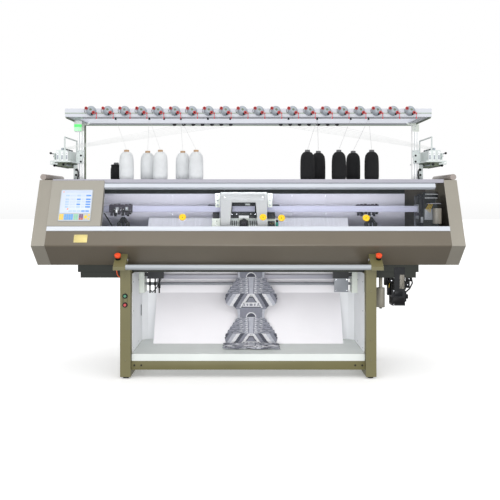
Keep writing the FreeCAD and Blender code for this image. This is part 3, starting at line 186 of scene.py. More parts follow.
def surface(name, rgb, rough, metal=0.0, vary=0.05, patch=5.0, grain=700.0, bump=0.08, stretch=(1, 1, 1),
            worn=0.0, **sockets):
    """A finish: patchy colour, grain in its roughness and relief, and paler rubbed edges if it is worn."""
    n = Nodes(name)
    base = linear(rgb)
    dark = [c * (1 - vary) for c in base] + [1]
    pale = [min(1, c * (1 + vary)) for c in base] + [1]
    colour = n.ramp(n.noise(patch, stretch=stretch), dark, pale)
    if worn:
        soft = n.add("ShaderNodeBevel", samples=4)
        set_inputs(soft, Radius=WORN_WIDTH)
        flat = n.add("ShaderNodeNewGeometry")
        turn = n.add("ShaderNodeVectorMath", operation="DOT_PRODUCT")
        n.link(soft.outputs[0], turn.inputs[0])
        n.link(flat.outputs["True Normal"], turn.inputs[1])
        edge = n.ramp(turn.outputs["Value"], (worn, worn, worn, 1), (0, 0, 0, 1), 0.75, 0.97)
        mix = n.add("ShaderNodeMix", data_type="RGBA")
        n.link(edge, mix.inputs["Factor"])
        n.link(colour, mix.inputs[6])
        mix.inputs[7].default_value = [c + (1 - c) * WORN_PALER for c in base] + [1]
        colour = mix.outputs[2]
    n.link(colour, n.shader.inputs["Base Color"])
    fine = n.noise(grain, 4.0, stretch)
    n.link(n.spread(fine, max(0.02, rough - 0.06), min(1, rough + 0.08)), n.shader.inputs["Roughness"])
    if bump:
        n.bump(fine, bump, GRAIN_DEPTH)
    set_inputs(n.shader, Metallic=metal, **sockets)
    M[name] = n.material
    return n


surface("olive_paint", (109, 104, 67), 0.5, bump=0.12, worn=0.5)
surface("taupe_paint", (109, 101, 88), 0.34, vary=0.03, grain=900, bump=0.1, worn=0.3)
surface("beige_paint", (152, 147, 136), 0.48, vary=0.03, bump=0.1, worn=0.3)
surface("housing_paint", (161, 157, 147), 0.5, vary=0.03, grain=800, bump=0.1, worn=0.3)
surface("tube_grey", (158, 148, 142), 0.4, vary=0.04, grain=600)
surface("dark_paint", (43, 46, 41), 0.55, grain=500, Specular_IOR_Level=0.3)
# Painted shade: a near-black finish for sheets put where there is only shade.
surface("painted_shade_dark", (18, 21, 17), 0.7, vary=0.15, grain=200, Specular_IOR_Level=0.1)
surface("cast_grey", (140, 144, 150), 0.55, metal=0.3, grain=300, bump=0.3)
surface("bed_steel", (190, 192, 201), 0.42, metal=0.25, vary=0.1, grain=260, stretch=(14, 1, 1))
surface("rail_steel", (150, 152, 172), 0.42, metal=0.35, vary=0.06, grain=300, stretch=(1, 30, 30))
surface("bright_steel", (200, 202, 208), 0.22, metal=1.0, vary=0.04, grain=500, stretch=(1, 20, 20))
surface("bar_steel", (176, 181, 186), 0.46, metal=0.15, vary=0.03, grain=500, stretch=(1, 20, 20))
surface("track_white", (209, 214, 222), 0.34, metal=0.15, vary=0.03, grain=400, stretch=(1, 12, 12))
surface("plate_lilac", (196, 196, 210), 0.5, patch=2.5, grain=300)
surface("pale_paint", (214, 220, 212), 0.5, vary=0.04, grain=600, worn=0.3)
surface("bow_white", (191, 194, 196), 0.45, vary=0.03, grain=800, worn=0.4)
surface("board_white", (238, 236, 240), 0.42, vary=0.02, patch=3, grain=160, bump=0.15)
surface("tray_grey", (220, 225, 222), 0.5, vary=0.04, grain=500, worn=0.3)
# Painted shade: the pale green of the rack's shaded underside.
surface("rack_painted_shade", (166, 180, 164), 0.55, grain=500)
surface("post_silver", (240, 240, 240), 0.36, metal=0.5, grain=500, stretch=(20, 20, 1))
surface("cast_white", (212, 220, 218), 0.45, vary=0.07, patch=18, grain=260, bump=0.25, worn=0.4)
# Olive grey of some small parts, and painted shade on the undersides of the side feeders and the rack.
surface("cast_shade", (112, 122, 104), 0.6, vary=0.2, patch=22, grain=300)
surface("dome_grey", (160, 168, 176), 0.36, vary=0.1, patch=60, grain=900)
surface("black_plastic", (18, 18, 20), 0.45, vary=0.2, patch=30, grain=500, bump=0.2, Specular_IOR_Level=0.2)
surface("black_steel", (24, 26, 29), 0.38, metal=0.2, vary=0.2, patch=20, grain=500, Specular_IOR_Level=0.25)
surface("black_rubber", (26, 26, 26), 0.75, vary=0.2, patch=30, bump=0.3)
surface("violet_black", (36, 31, 44), 0.36, metal=0.15, vary=0.3, patch=80, grain=500, Specular_IOR_Level=0.3)
surface("stop_orange", (240, 78, 30), 0.35, vary=0.06, patch=50, grain=900, bump=0.04, Coat_Weight=0.4)
surface("wire_red", (206, 62, 72), 0.35, vary=0.08, patch=90, grain=900)
surface("cable_black", (28, 28, 30), 0.55, vary=0.15, patch=60)
surface("pull_yellow", (255, 204, 0), 0.38, vary=0.03, patch=30, bump=0.05, Coat_Weight=0.3)
surface("lamp_white", (236, 240, 240), 0.35, vary=0.03, patch=40, grain=500)
surface("lamp_green", (96, 246, 120), 0.3, vary=0.1, patch=40, grain=400, Coat_Weight=0.4,
        Emission_Color=(0.1, 1, 0.2, 1), Emission_Strength=0.35)
surface("lamp_pale", (184, 250, 196), 0.3, vary=0.06, patch=40, grain=400, Coat_Weight=0.4,
        Emission_Color=(0.4, 1, 0.5, 1), Emission_Strength=0.25)
surface("gold_plate", (214, 198, 132), 0.34, metal=0.5, vary=0.08, patch=24, grain=500, stretch=(1, 12, 12))
surface("bezel_blue", (184, 190, 194), 0.42, vary=0.03, patch=8)
surface("screen", (206, 216, 236), 0.2, vary=0.04, patch=9, grain=900, bump=0.0,
        Emission_Color=(0.75, 0.85, 1, 1), Emission_Strength=0.03)
surface("roller_white", (214, 214, 222), 0.45, vary=0.04, grain=300, bump=0.3, stretch=(1, 3, 3))
surface("roller_grey", (140, 144, 150), 0.45, vary=0.06, grain=300, bump=0.3, stretch=(1, 3, 3))
surface("filter_grey", (158, 154, 142), 0.65, metal=0.3, vary=0.1, patch=20, grain=300)


def alike(rows, **facts):
    """Finishes that differ only in colour and roughness."""
    for name, rgb, rough in rows:
        surface(name, rgb, rough, **facts)


alike((("light_grey", (170, 169, 180), 0.42), ("white_paint", (238, 240, 243), 0.5),
       ("rack_white", (208, 211, 219), 0.45)), vary=0.03, worn=0.3)
alike((("red_plastic", (186, 40, 40), 0.3), ("green_plastic", (34, 120, 84), 0.3)),
      vary=0.08, patch=50, grain=900, bump=0.03, Coat_Weight=0.5)
alike((("teal_plastic", (38, 150, 130), 0.4), ("blue_plastic", (60, 84, 190), 0.4)),
      vary=0.1, patch=60, grain=600)
alike((("cable_orange", (226, 92, 44), 0.5), ("cable_yellow", (206, 176, 50), 0.5)),
      vary=0.06, patch=60)
alike((("paper_tube", (186, 152, 118), 0.75), ("grey_tube", (98, 98, 100), 0.7)),
      vary=0.12, patch=60, grain=300, bump=0.3)
alike((("strand_white", (232, 234, 232), 0.8), ("strand_grey", (196, 196, 198), 0.8)),
      patch=300, grain=2000)
for name, rgb in (
        ("key_yellow", (246, 206, 60)), ("key_blue", (92, 162, 226)), ("key_green", (140, 206, 170)),
        ("key_purple", (112, 62, 112)), ("key_red", (196, 76, 56)), ("icon_pale", (176, 200, 238)),
        ("icon_blue", (96, 150, 240)), ("icon_orange", (244, 160, 110)), ("icon_line", (198, 210, 232))):
    surface(name, rgb, 0.35, patch=60, grain=900, bump=0.04)
surface("clear_sheet", (214, 226, 240), 0.06, vary=0.02, grain=420, bump=0.0, Alpha=0.015)


def wound(name, rgb, rough):
    """Yarn wound on a cone: fine crossing helixes in colour and relief."""
    n = surface(name, rgb, rough, patch=14, grain=420, bump=0.0)
    n.bump(n.combine("ADD", n.wave(260, "Z", 3.0), n.wave(190, "DIAGONAL", 2.0)), 0.5, 0.0012)


wound("white_yarn", (236, 239, 240), 0.85)
wound("black_yarn", (11, 12, 15), 0.8)


def knit(name, rgb):
    """Knitted cloth: rows of stitches in relief, and a little sheen."""
    n = surface(name, rgb, 0.85, vary=0.08, patch=60, grain=420, bump=0.0, Sheen_Weight=0.25)
    n.bump(n.combine("MULTIPLY", n.wave(330, "Z", 0.6), n.wave(330, "X", 0.6)), 0.7, 0.0015)


knit("knit_dark", (78, 80, 92))
knit("knit_mid", (136, 138, 150))
knit("knit_light", (188, 190, 200))
knit("knit_white", (226, 226, 230))

surface("floor_white", (250, 250, 250), 0.9, vary=0.01, patch=0.6, grain=30, bump=0.02,
        Emission_Color=(1, 1, 1, 1), Emission_Strength=0.22)
floor_mesh = bpy.data.meshes.new("studio_floor")
floor_mesh.from_pydata([(-30, -12, 0), (30, -12, 0), (30, 40, 0), (-30, 40, 0)], [], [(0, 1, 2, 3)])
floor_mesh.materials.append(M["floor_white"])
floor = add_object("studio_floor", floor_mesh)
floor.visible_diffuse = floor.visible_glossy = False


# ---- mesh helpers ----
def turned(points):
    """The outline, anticlockwise."""
    area = sum(a[0] * b[1] - b[0] * a[1] for a, b in zip(points, points[1:] + points[:1]))
    return points if area > 0 else points[::-1]


def inset(points, distance):
    """A closed anticlockwise outline moved inward, with mitred corners."""
    moved = []
    for i, p in enumerate(points):
        ends = []
        for a, b in ((points[i - 1], p), (p, points[(i + 1) % len(points)])):
            length = math.hypot(b[0] - a[0], b[1] - a[1]) or 1e-9
            ends.append((-(b[1] - a[1]) / length, (b[0] - a[0]) / length))
        (ax, ay), (bx, by) = ends
        k = distance / max(0.3, 1 + ax * bx + ay * by)
        moved.append((p[0] + (ax + bx) * k, p[1] + (ay + by) * k))
    return moved


def rounded(points, radius, steps=4, closed=True):
    """The corners of an outline turned into arcs; an open one keeps its ends."""
    out = []
    for i, corner in enumerate(points):
        if not closed and i in (0, len(points) - 1):
            out.append(tuple(corner))
            continue
        p = Vector(corner)
        a, b = Vector(points[i - 1]) - p, Vector(points[(i + 1) % len(points)]) - p
        half = a.angle(b) / 2
        cut = min(radius / math.tan(half), a.length * 0.49, b.length * 0.49)
        middle = p + (a.normalized() + b.normalized()).normalized() * (cut / math.cos(half))
        start, end = p + a.normalized() * cut - middle, p + b.normalized() * cut - middle
        sweep = start.angle(end)
        for k in range(steps + 1):
            near, far = math.sin(sweep * (1 - k / steps)), math.sin(sweep * k / steps)
            out.append(tuple(middle + (start * near + end * far) / math.sin(sweep)))
    return out


class Piece:
    """One object, gathered from many small forms, that rides on a body."""

    def __init__(self, name, body="frame"):
        self.name, self.body = name, body
        self.bm, self.used, self.place = bmesh.new(), [], Matrix.Identity(4)

    def loft(self, rings, mat):
        """A closed skin over rings with equally many points."""
        if mat not in self.used:
            self.used.append(mat)
        grid = [[self.bm.verts.new((self.place @ Vector(p)) * MM) for p in ring] for ring in rings]
        faces = []
        for a, b in zip(grid, grid[1:]):
            for i in range(len(a)):
                j = (i + 1) % len(a)
                faces.append(self.bm.faces.new((a[i], a[j], b[j], b[i])))
        faces.append(self.bm.faces.new(grid[0][::-1]))
        faces.append(self.bm.faces.new(grid[-1]))
        for face in faces:
            face.material_index, face.smooth = self.used.index(mat), True

    def prism(self, outline, axis, a, b, mat, soft=0.8, steps=2):
        """An outline drawn out along an axis from a to b, with both rims rounded."""
        spot = {"x": lambda h, p: (h, p[0], p[1]), "y": lambda h, p: (p[0], h, p[1]),
                "z": lambda h, p: (p[0], p[1], h)}[axis]
        outline, soft = turned(list(outline)), min(soft, abs(b - a) * 0.45)
        levels = []
        for k in range(steps + 1 if soft else 1):
            angle = math.pi / 2 * k / steps
            levels.append((soft * (1 - math.cos(angle)), soft * (1 - math.sin(angle))))
        ways = [(a + rise, inward) for rise, inward in levels]
        ways += [(b - rise, inward) for rise, inward in levels[::-1]]
        self.loft([[spot(h, p) for p in inset(outline, inward)] for h, inward in ways], mat)

    def box(self, x0, x1, y0, y1, z0, z1, mat, soft=1.0):
        soft = min(soft, (x1 - x0) * 0.45, (y1 - y0) * 0.45, (z1 - z0) * 0.45)
        corners = [(x0, z0), (x1, z0), (x1, z1), (x0, z1)]
        self.prism(rounded(corners, soft, 2) if soft else corners, "y", y0, y1, mat, soft)

    def boxes(self, rows, *soft):
        """Boxes of one softness, or with each its own at the end of its row."""
        for row in rows:
            self.box(*row, *soft)

    def lathe(self, profile, base, way, mat, sides=24):
        """A profile of (radius, height) turned about the line from base along way."""
        turn = Vector(UP).rotation_difference(Vector(way)).to_matrix().to_4x4()
        turn = Matrix.Translation(Vector(base)) @ turn
        rings = []
        for radius, height in profile:
            ring = [(radius * math.cos(math.tau * i / sides), radius * math.sin(math.tau * i / sides), height)
                    for i in range(sides)]
            rings.append([turn @ Vector(p) for p in ring])
        self.loft(rings, mat)

    def rod(self, radius, start, end, mat, sides=16):
        way = Vector(end) - Vector(start)
        long = way.length
        soft = min(0.6, radius * 0.4, long * 0.4)
        profile = [(radius - soft, 0), (radius, soft), (radius, long - soft), (radius - soft, long)]
        self.lathe(profile, start, way, mat, sides)

    def wire(self, points, radius, mat, sides=8):
        """A bent round wire through the points."""
        points = [Vector(p) for p in points]
        rings, normal = [], None
        for i, p in enumerate(points):
            way = (points[min(i + 1, len(points) - 1)] - points[max(i - 1, 0)]).normalized()
            normal = normal or way.orthogonal()
            normal = (normal - way * normal.dot(way)).normalized()
            side = way.cross(normal)
            turns = [math.tau * k / sides for k in range(sides)]
            rings.append([p + (normal * math.cos(t) + side * math.sin(t)) * radius for t in turns])
        self.loft(rings, mat)

    def screw(self, place, radius, mat="bright_steel", way=FORWARD):
        """A round head with a sunk socket."""
        r = radius
        self.lathe([(r, 0), (r, r * 0.35), (r * 0.8, r * 0.55), (r * 0.45, r * 0.55), (r * 0.4, r * 0.2)],
                   place, way, mat, 12)

    def done(self, replaces=()):
        bmesh.ops.recalc_face_normals(self.bm, faces=self.bm.faces[:])
        mesh = bpy.data.meshes.new(self.name)
        self.bm.to_mesh(mesh)
        self.bm.free()
        for mat in self.used:
            mesh.materials.append(M[mat])
        mesh.set_sharp_from_angle(angle=math.radians(SHARP))
        thing = add_object(self.name, mesh)
        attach(thing, self.body)
        if replaces:
            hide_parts(*replaces)


def dress(node, mat, soft):
    """A material and softened edges for a node that keeps its own form."""
    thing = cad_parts[node]
    thing.data.materials.clear()
    thing.data.materials.append(M[mat])
    weld = thing.modifiers.new("weld", "WELD")
    weld.merge_threshold = 0.02 * MM
    bevel = thing.modifiers.new("bevel", "BEVEL")
    bevel.width, bevel.segments, bevel.limit_method = soft * MM, 2, "ANGLE"
    bevel.angle_limit = math.radians(40)
    bevel.harden_normals = True


# Finish, width of the softened edges, and the nodes that keep their own form.
LOOKS = (
    ("olive_paint", 3, "side_frame_left side_frame_right"), ("olive_paint", 1.2, "bar_brackets"),
    ("black_rubber", 2, "levelling_feet"), ("dark_paint", 1.5, "bed_girder"), ("dark_paint", 1, "base_pan"),
    ("dark_paint", 2, "end_drive_unit"), ("cast_grey", 1, "bed_supports"),
    ("bed_steel", 1, "needle_bed_front needle_bed_rear"), ("rail_steel", 1.2, "bed_rails"),
    ("taupe_paint", 1, "rear_cover"), ("beige_paint", 1.5, "end_cap_left end_cap_right"),
    ("tube_grey", 1, "grab_tubes"), ("light_grey", 1.2, "cone_table"), ("track_white", 0.8, "cover_tracks"),
    ("housing_paint", 1, "control_housing"), ("plate_lilac", 0.8, "inner_back_plate"),
    ("pale_paint", 2, "carriage_boxes"), ("pale_paint", 1, "roller_bearings"),
    ("bow_white", 3, "carriage_bow"), ("black_plastic", 2, "carriage_feeder_block"),
    ("black_plastic", 1, "button_collars"), ("black_plastic", 0.8, "rack_eyelets"),
    ("black_steel", 2, "takedown_motors"), ("violet_black", 1, "yarn_carrier_left yarn_carrier_right"),
    ("green_plastic", 1.5, "green_button"), ("red_plastic", 1.5, "red_button"),
    ("stop_orange", 3, "estop_left estop_right"), ("bar_steel", 1, "start_bar"),
    ("filter_grey", 2, "suction_filter"), ("tray_grey", 1, "fabric_tray"),
    ("board_white", 0.6, "fabric_board"), ("white_paint", 0.6, "bay_panels"),
    ("post_silver", 2, "rack_posts"), ("post_silver", 1, "feeder_roller_left feeder_roller_right"),
    ("rack_white", 1, "rack_frame"), ("wire_red", 0.3, "tension_arms"),
    ("cast_white", 1, "side_feeder_left side_feeder_right"),
    ("roller_white", 1, "takedown_roller pressure_roller"), ("roller_grey", 1, "auxiliary_roller"),
)
for mat, soft, nodes in LOOKS:
    for node in nodes.split():
        dress(node, mat, soft)

# The two finishes that most fittings take.
PLASTIC, STEEL = "black_plastic", "black_steel"


# ---- fascia ----
def strip(points, thick):
    """The outline of bent sheet metal: a path, and the same path moved to its right."""
    back = []
    for i, p in enumerate(points):
        a, b = points[max(i - 1, 0)], points[min(i + 1, len(points) - 1)]
        length = math.hypot(b[0] - a[0], b[1] - a[1])
        back.append((p[0] + (b[1] - a[1]) / length * thick, p[1] - (b[0] - a[0]) / length * thick))
    return list(points) + back[::-1]


def rect(x0, x1, y0, y1, radius, steps=5):
    return rounded([(x0, y0), (x1, y0), (x1, y1), (x0, y1)], radius, steps)


def leaning(back, rise, up):
    """The frame of a face that leaves the sill upward (1) or downward (-1)."""
    return Matrix(((1, 0, 0, 0), (0, up * back, -rise, SILL_Y), (0, up * rise, back, SILL_Z), (0, 0, 0, 1)))


def mirrored(side, a, b):
    """The low and high x of a span that is given for the right side."""
    return sorted((side * a, side * b))


# Places on the slope are (x, up the slope, out from it); on the fascia, (x, down from the sill, out).
SLOPE = leaning(0.4567, 0.8896, 1)
FACE = leaning(0.4735, 0.8807, -1)

piece = Piece("fascia_panel")
path = rounded([(-240, 716), (-409.5, 852), (-360, 944.5)], 15, 7, closed=False)
piece.prism(strip(path, 3), "x", -1306.5, 1306.5, "taupe_paint", 0.5)
piece.done(["front_fascia"])

piece = Piece("maker_place_left_bare")
piece.place = FACE
piece.prism(rect(-1123, -1036, 26, 82, 3), "z", 0, 0.9, "gold_plate", 0.3)
for x, down in ((-1119, 30), (-1040, 30), (-1119, 78), (-1040, 78)):
    piece.lathe([(1.8, 0.8), (1.8, 1.3), (1.0, 1.8)], (x, down, 0), UP, "bright_steel", 10)
piece.done()

# ---- sliding covers ----
PULL = [(22.2, 4), (23, 4.8), (23, 10), (21.6, 11), (17.5, 11), (15.5, 9.6), (14, 7.6), (4, 7.2)]
for name, body, x0, x1, v, pulls in (("sheet_left", "cover_left", -956, 159, -10, (-429, 97)),
                                     ("sheet_right", "cover_right", 159, 1246.7, -22, (218, 772))):
    piece = Piece(name, body)
    piece.place = SLOPE
    piece.prism(rect(x0, x1, 12.3, 334, 4), "z", v, v + 4, "clear_sheet", 0.5)
    for x in pulls:
        piece.lathe(PULL, (x, 101, v), UP, "pull_yellow", 40)
        piece.screw((x, 101, v + 7), 3.2, STEEL, UP)
    piece.done([body])

# ---- touch panel ----
X0, X1, U0, U1 = -1239, -1027, 66, 298
piece = Piece("operator_panel")
piece.place = SLOPE
piece.prism(rect(X0, X1, U0, U1, 9, 6), "z", 6, 11.4, "bezel_blue", 1.6, 3)
piece.prism(rect(X0 + 6, X1 - 6, U0 + 60, U1 - 6, 4), "z", 11, 11.8, "screen", 0.2)


def patch(x0, x1, u0, u1, mat, out=12.0, radius=1.6):
    """A flat key or field of colour, placed by its share of the panel's width and height."""
    w, h = X1 - X0, U1 - U0
    field = rect(X0 + x0 * w, X0 + x1 * w, U0 + u0 * h, U0 + u1 * h, radius, 3)
    piece.prism(field, "z", 11, out, mat, 0.25, 1)


def keys(x0, x1, u0, u1, columns, rows, mat):
    w, h = (x1 - x0) / columns, (u1 - u0) / rows
    for i in range(columns):
        for j in range(rows):
            patch(x0 + w * (i + 0.06), x0 + w * (i + 0.94), u0 + h * (j + 0.07), u0 + h * (j + 0.93), mat)


keys(0.03, 0.16, 0.04, 0.22, 2, 3, "key_yellow")
keys(0.18, 0.46, 0.04, 0.22, 4, 3, "key_blue")
keys(0.48, 0.61, 0.04, 0.22, 2, 3, "key_green")
keys(0.64, 0.77, 0.10, 0.22, 2, 2, "key_purple")
keys(0.64, 0.77, 0.04, 0.10, 2, 1, "key_red")
x, u = X0 + 0.845 * (X1 - X0), U0 + 0.13 * (U1 - U0)
piece.prism([(x, u - 15), (x + 13, u), (x, u + 15), (x - 13, u)], "z", 11, 12.2, "key_yellow", 0.4)
for share in (0.075, 0.19):
    u = U0 + share * (U1 - U0)
    piece.rod(6.5, (X1 - 12, u, 11), (X1 - 12, u, 12.2), "key_yellow", 20)
patch(0.06, 0.94, 0.90, 0.945, "icon_line", 12.05)
patch(0.07, 0.11, 0.905, 0.94, "icon_orange", 12.15)
for row, (low, high) in enumerate(((0.78, 0.83), (0.66, 0.71), (0.58, 0.63), (0.50, 0.55), (0.42, 0.47))):
    for x0, x1, mat in ((0.17, 0.28, "icon_pale"), (0.52, 0.64, "icon_blue" if row % 2 else "icon_pale"),
                        (0.80, 0.95, "icon_blue")):
        patch(x0, x1, low, high, mat, 12.1, 1.0)
    for x0, x1 in ((0.31, 0.49), (0.67, 0.77)):
        patch(x0, x1, low, high, "icon_line", 12.05, 1.0)
patch(0.24, 0.29, 0.36, 0.40, "icon_orange", 12.15, 1.0)
for i in range(5):
    patch(0.30 + 0.13 * i, 0.41 + 0.13 * i, 0.29, 0.335, "icon_blue" if i > 2 else "icon_pale", 12.1, 1.0)
piece.done(["touch_panel"])

# ---- cones ----
# A cone is (x, y, radius, height); one of them is nearly used up.
FRONT_ROW, REAR_ROW, FULL, SPENT = 10, 125, (50, 195), (40, 112)


def two_rows(front, rear):
    return [(x, FRONT_ROW, *FULL) for x in front] + [(x, REAR_ROW, *FULL) for x in rear]


WHITE = two_rows((-845, -610, -362), (-713, -464))
BLACK = two_rows((411, 629, 857), (497, 744)) + [(-936, REAR_ROW, *SPENT)]
tips = Piece("cone_tubes")
for name, cones, mat, node in (("cones_white", WHITE, "white_yarn", "white_cones"),
                               ("cones_black", BLACK, "black_yarn", "black_cones")):
    piece = Piece(name)
    for x, y, r, h in cones:
        top = (0.95, 0.90, 0.86) if (r, h) == SPENT else (0.70, 0.54, 0.40)
        piece.lathe([(r * 0.80, 0), (r * 0.90, 2), (r * 0.98, 12), (r, 26), (r, h * 0.48),
                     (r * 0.985, h * 0.66), (r * 0.95, h * 0.78), (r * 0.88, h * 0.87),
                     (r * top[0], h * 0.945), (r * top[1], h * 0.985), (r * top[2], h)],
                    (x, y, TABLE_TOP), UP, mat, 48)
        tube = "paper_tube" if mat == "white_yarn" else "grey_tube"
        tips.lathe([(18, h - 2), (17.2, h + 12.5), (16.6, h + 14), (14.4, h + 14), (14, h + 12),
                    (14.5, h + 2)], (x, y, TABLE_TOP), UP, tube, 28)
    piece.done([node])
tips.done(["cone_cores"])


# ---- cords ----
def route_length(points):
    """The length of the curve that the control points give."""
    total, ends = 0.0, [points[0]]
    ends += [(Vector(a) + Vector(b)) / 2 for a, b in zip(points[1:-1], points[2:-1])] + [points[-1]]
    for a, c, b in zip(ends, points[1:-1], ends[1:]):
        spots = [(1 - t) ** 2 * Vector(a) + 2 * t * (1 - t) * Vector(c) + t * t * Vector(b) for t in
                 [k / 40 for k in range(41)]]
        total += sum((q - p).length for p, q in zip(spots, spots[1:]))
    return total


def cord(name, points, diameter, mat, node):
    points = [Vector(p) * MM for p in points]
    if len(points) == 2:
        points.insert(1, (points[0] + points[1]) / 2)
    data = bpy.data.curves.new(name, "CURVE")
    data.dimensions, data.bevel_depth = "3D", diameter * MM / 2
    data.bevel_resolution, data.resolution_u = 3, 16
    data.use_fill_caps = True
    line = data.splines.new("NURBS")
    line.points.add(len(points) - 1)
    for point, p in zip(line.points, points):
        point.co = (*p, 1)
    line.order_u, line.use_endpoint_u = 3, True
    data.materials.append(M[mat])
    thing = add_object(name, data)
    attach(thing, "frame")
    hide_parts(node)
    route_length(points)


def yarn(name, start, end, mat):
    cord(name, [start, end], YARN, mat, "yarn_strands")


# Each cone but the nearly empty one sends its yarn up to the nearest upper eyelet.
for x, y, r, h in WHITE + BLACK[:-1]:
    eye = min(UPPER_EYELETS, key=lambda e: abs(e - x))
    yarn(f"yarn_{'front' if y == FRONT_ROW else 'rear'}_{'m' if x < 0 else 'p'}{abs(x)}",
         (x, y, TABLE_TOP + h + 14), (eye + (2.4 if x > eye else -2.4), UPPER_Y, EYELET_LOW),
         "strand_white" if (x, y, r, h) in WHITE else "strand_grey")

for side, name in ((-1, "left"), (1, "right")):
    for i, x in enumerate(LOWER_EYELETS[side][::-side]):
        yarn(f"yarn_feed_{name}_{i}", (x, LOWER_Y, EYELET_LOW), (side * GUIDE_X, GUIDE_Y[i], 1496),
             "strand_white")
cord("suction_line", [(930, -185, 631), (930, -185, 591.5), (996, -185, 591.5), (996, -185, 552)], 9,
     "cable_black", "service_lines")
cord("stop_cable", [(-851, -367, 710), (-851, -367, 646), (-822, -367, 646)], 8, "cable_orange",
     "service_lines")
cord("post_lead", [(-1137.2, 42.5, TABLE_TOP), (-1137.2, 42.5, RACK_LOW)], 10, "cast_shade",
     "service_lines")

# ---- fabric ----
# The half width down the cloth, as shares of one repeat of its pattern, and the pattern's own marks.
REPEAT, TOP_MARK, MID = 278.6, 625.0, 20.0
SHAPE = ((0.0, 92), (0.08, 102), (0.18, 122), (0.36, 158), (0.54, 186), (0.70, 176), (0.77, 160),
         (0.80, 118), (0.88, 98), (1.0, 92))


def half_width(share):
    for (a, wa), (b, wb) in zip(SHAPE, SHAPE[1:]):
        if a <= share <= b:
            width = wa + (wb - wa) * (share - a) / (b - a)
            break
    if share < 0.58:   # this part of a repeat has a saw-toothed edge
        width -= 9 * ((share / 0.095) % 1.0)
    return width


def pattern(x, share):
    """The shade at x beside the middle, at a share of the repeat."""
    x = abs(x)
    if share > 0.86 or share < 0.06:
        turn = math.hypot(x, ((share + 0.14) % 1.0 - 0.2) * REPEAT)
        if turn < 29 and (share > 0.86 or share < 0.05):
            return "knit_dark"
        return "knit_white" if turn < 36 else "knit_mid" if x < 78 else "knit_light"
    if share < 0.47:
        if x < 19 - 14 * share:
            return "knit_light"
        if x < 26 - 10 * share:
            return "knit_mid"
        ray = (share * 21 + (x - 20) * 0.004) % 1.0
        reach = 42 + 30 * share + 26 * math.sin(x * 0.11)
        if ray < 0.42 - 0.0042 * max(0, x - reach * 0.4) and x < reach + 26:
            return "knit_white" if x < reach else "knit_light"
        return "knit_dark" if (ray > 0.78 and x > 40) else "knit_mid" if ray < 0.62 else "knit_light"
    arch = (share - 0.47) / 0.35
    edge = 22 + 62 * arch
    if x < edge and share < 0.82:
        if share > 0.54 and x < edge - 20 and share < 0.69:
            return "knit_dark" if x > edge - 28 or share < 0.565 else "knit_mid"
        if 0.70 < share < 0.79 and x < edge - 14:
            return "knit_mid" if (x % 22) < 9 and 0.72 < share < 0.77 else "knit_white"
        if 0.49 < share < 0.525 and 4 < x < 9:
            return "knit_dark"
        return "knit_white" if share < 0.70 or x > edge - 12 else "knit_dark"
    bands = ("knit_mid", "knit_dark", "knit_white", "knit_light", "knit_mid", "knit_dark")
    return bands[min(5, max(0, int((x - edge) / 26)))]


# The cloth hangs from the beds, bends forward at its foot and lies in folds on the tray.
route = [(30, 1020), (30, 242.2), (-15.3, 170), (-40, 155.3), (-240, 155.3)]
lengths = [math.dist(a, b) for a, b in zip(route, route[1:])]
whole = sum(lengths)
ROWS, COLUMNS, HEAP = 364, 96, whole - 210
mesh = bmesh.new()
grid, tags = [], []
shades = ("knit_dark", "knit_mid", "knit_light", "knit_white")
for row in range(ROWS + 1):
    done_length = along = whole * row / ROWS
    for (a, b), length in zip(zip(route, route[1:]), lengths):
        if along <= length + 1e-6:
            break
        along -= length
    along = min(along / length, 1.0)
    y, z = a[0] + (b[0] - a[0]) * along, a[1] + (b[1] - a[1]) * along
    share = ((done_length - (route[0][1] - TOP_MARK)) / REPEAT) % 1.0
    half = half_width(share) if done_length < HEAP else 181 - 12 * math.sin(done_length * 0.08)
    line = []
    for column in range(COLUMNS + 1):
        across = 2 * column / COLUMNS - 1
        x = MID + half * across
        if done_length < HEAP:
            sway = 1.5 * math.sin(x * 0.03) * math.sin(done_length * 0.02) if z < 560 else 0
            spot = (x, y + sway, z)
        else:
            fold = 0.5 + 0.5 * math.sin((done_length - HEAP) * 0.16 + 1.6 * math.sin(x * 0.021))
            lift = 12 * fold + 3 * math.sin(x * 0.05 + done_length * 0.03) ** 2
            lift *= min(1, (done_length - HEAP) / 30)
            spot = (x, y, z + max(0, lift))
        line.append(mesh.verts.new(Vector(spot) * MM))
    grid.append(line)
    tags.append(share)
for row in range(ROWS):
    for column in range(COLUMNS):
        a, b = grid[row], grid[row + 1]
        face = mesh.faces.new((a[column], a[column + 1], b[column + 1], b[column]))
        x = (a[column].co.x + a[column + 1].co.x) / 2 / MM - MID
        share = tags[row]
        if whole * row / ROWS >= HEAP:
            x, share = x * 0.7, (share * 2.3) % 1.0
        face.material_index, face.smooth = shades.index(pattern(x, share)), True
area = sum(f.calc_area() for f in mesh.faces)
data = bpy.data.meshes.new("jacquard_cloth")
mesh.to_mesh(data)
mesh.free()
for shade in shades:
    data.materials.append(M[shade])
cloth = add_object("jacquard_cloth", data)
thick = cloth.modifiers.new("thickness", "SOLIDIFY")
thick.thickness, thick.offset = 2 * MM, 0.0
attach(cloth, "frame")
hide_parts("knitted_fabric")


# ---- inside the covers ----
# A dark sheet above the back plate: painted shade of the gap under the table.
piece = Piece("rear_painted_shade")
piece.box(-1130, 1130, 232, 235, 1188, 1261, "painted_shade_dark", 0.5)
piece.done()
piece = Piece("back_plate_joints")
for x in (-549, 315, 559):
    piece.box(x - 7, x + 7, 223.6, PLATE_Y, 1033, 1188, "plate_lilac", 0.6)
    for z in (1045, 1110, 1176):
        piece.screw((x, 223.6, z), 3.2)
piece.box(-196, -118, 221.5, PLATE_Y, 1120, 1184, "plate_lilac", 1.2)
for x in (-190, -124):
    piece.lathe([(7, 0), (7, 8), (5.5, 10), (3, 10.4)], (x, 221.5, 1176), FORWARD, PLASTIC, 20)
piece.done()

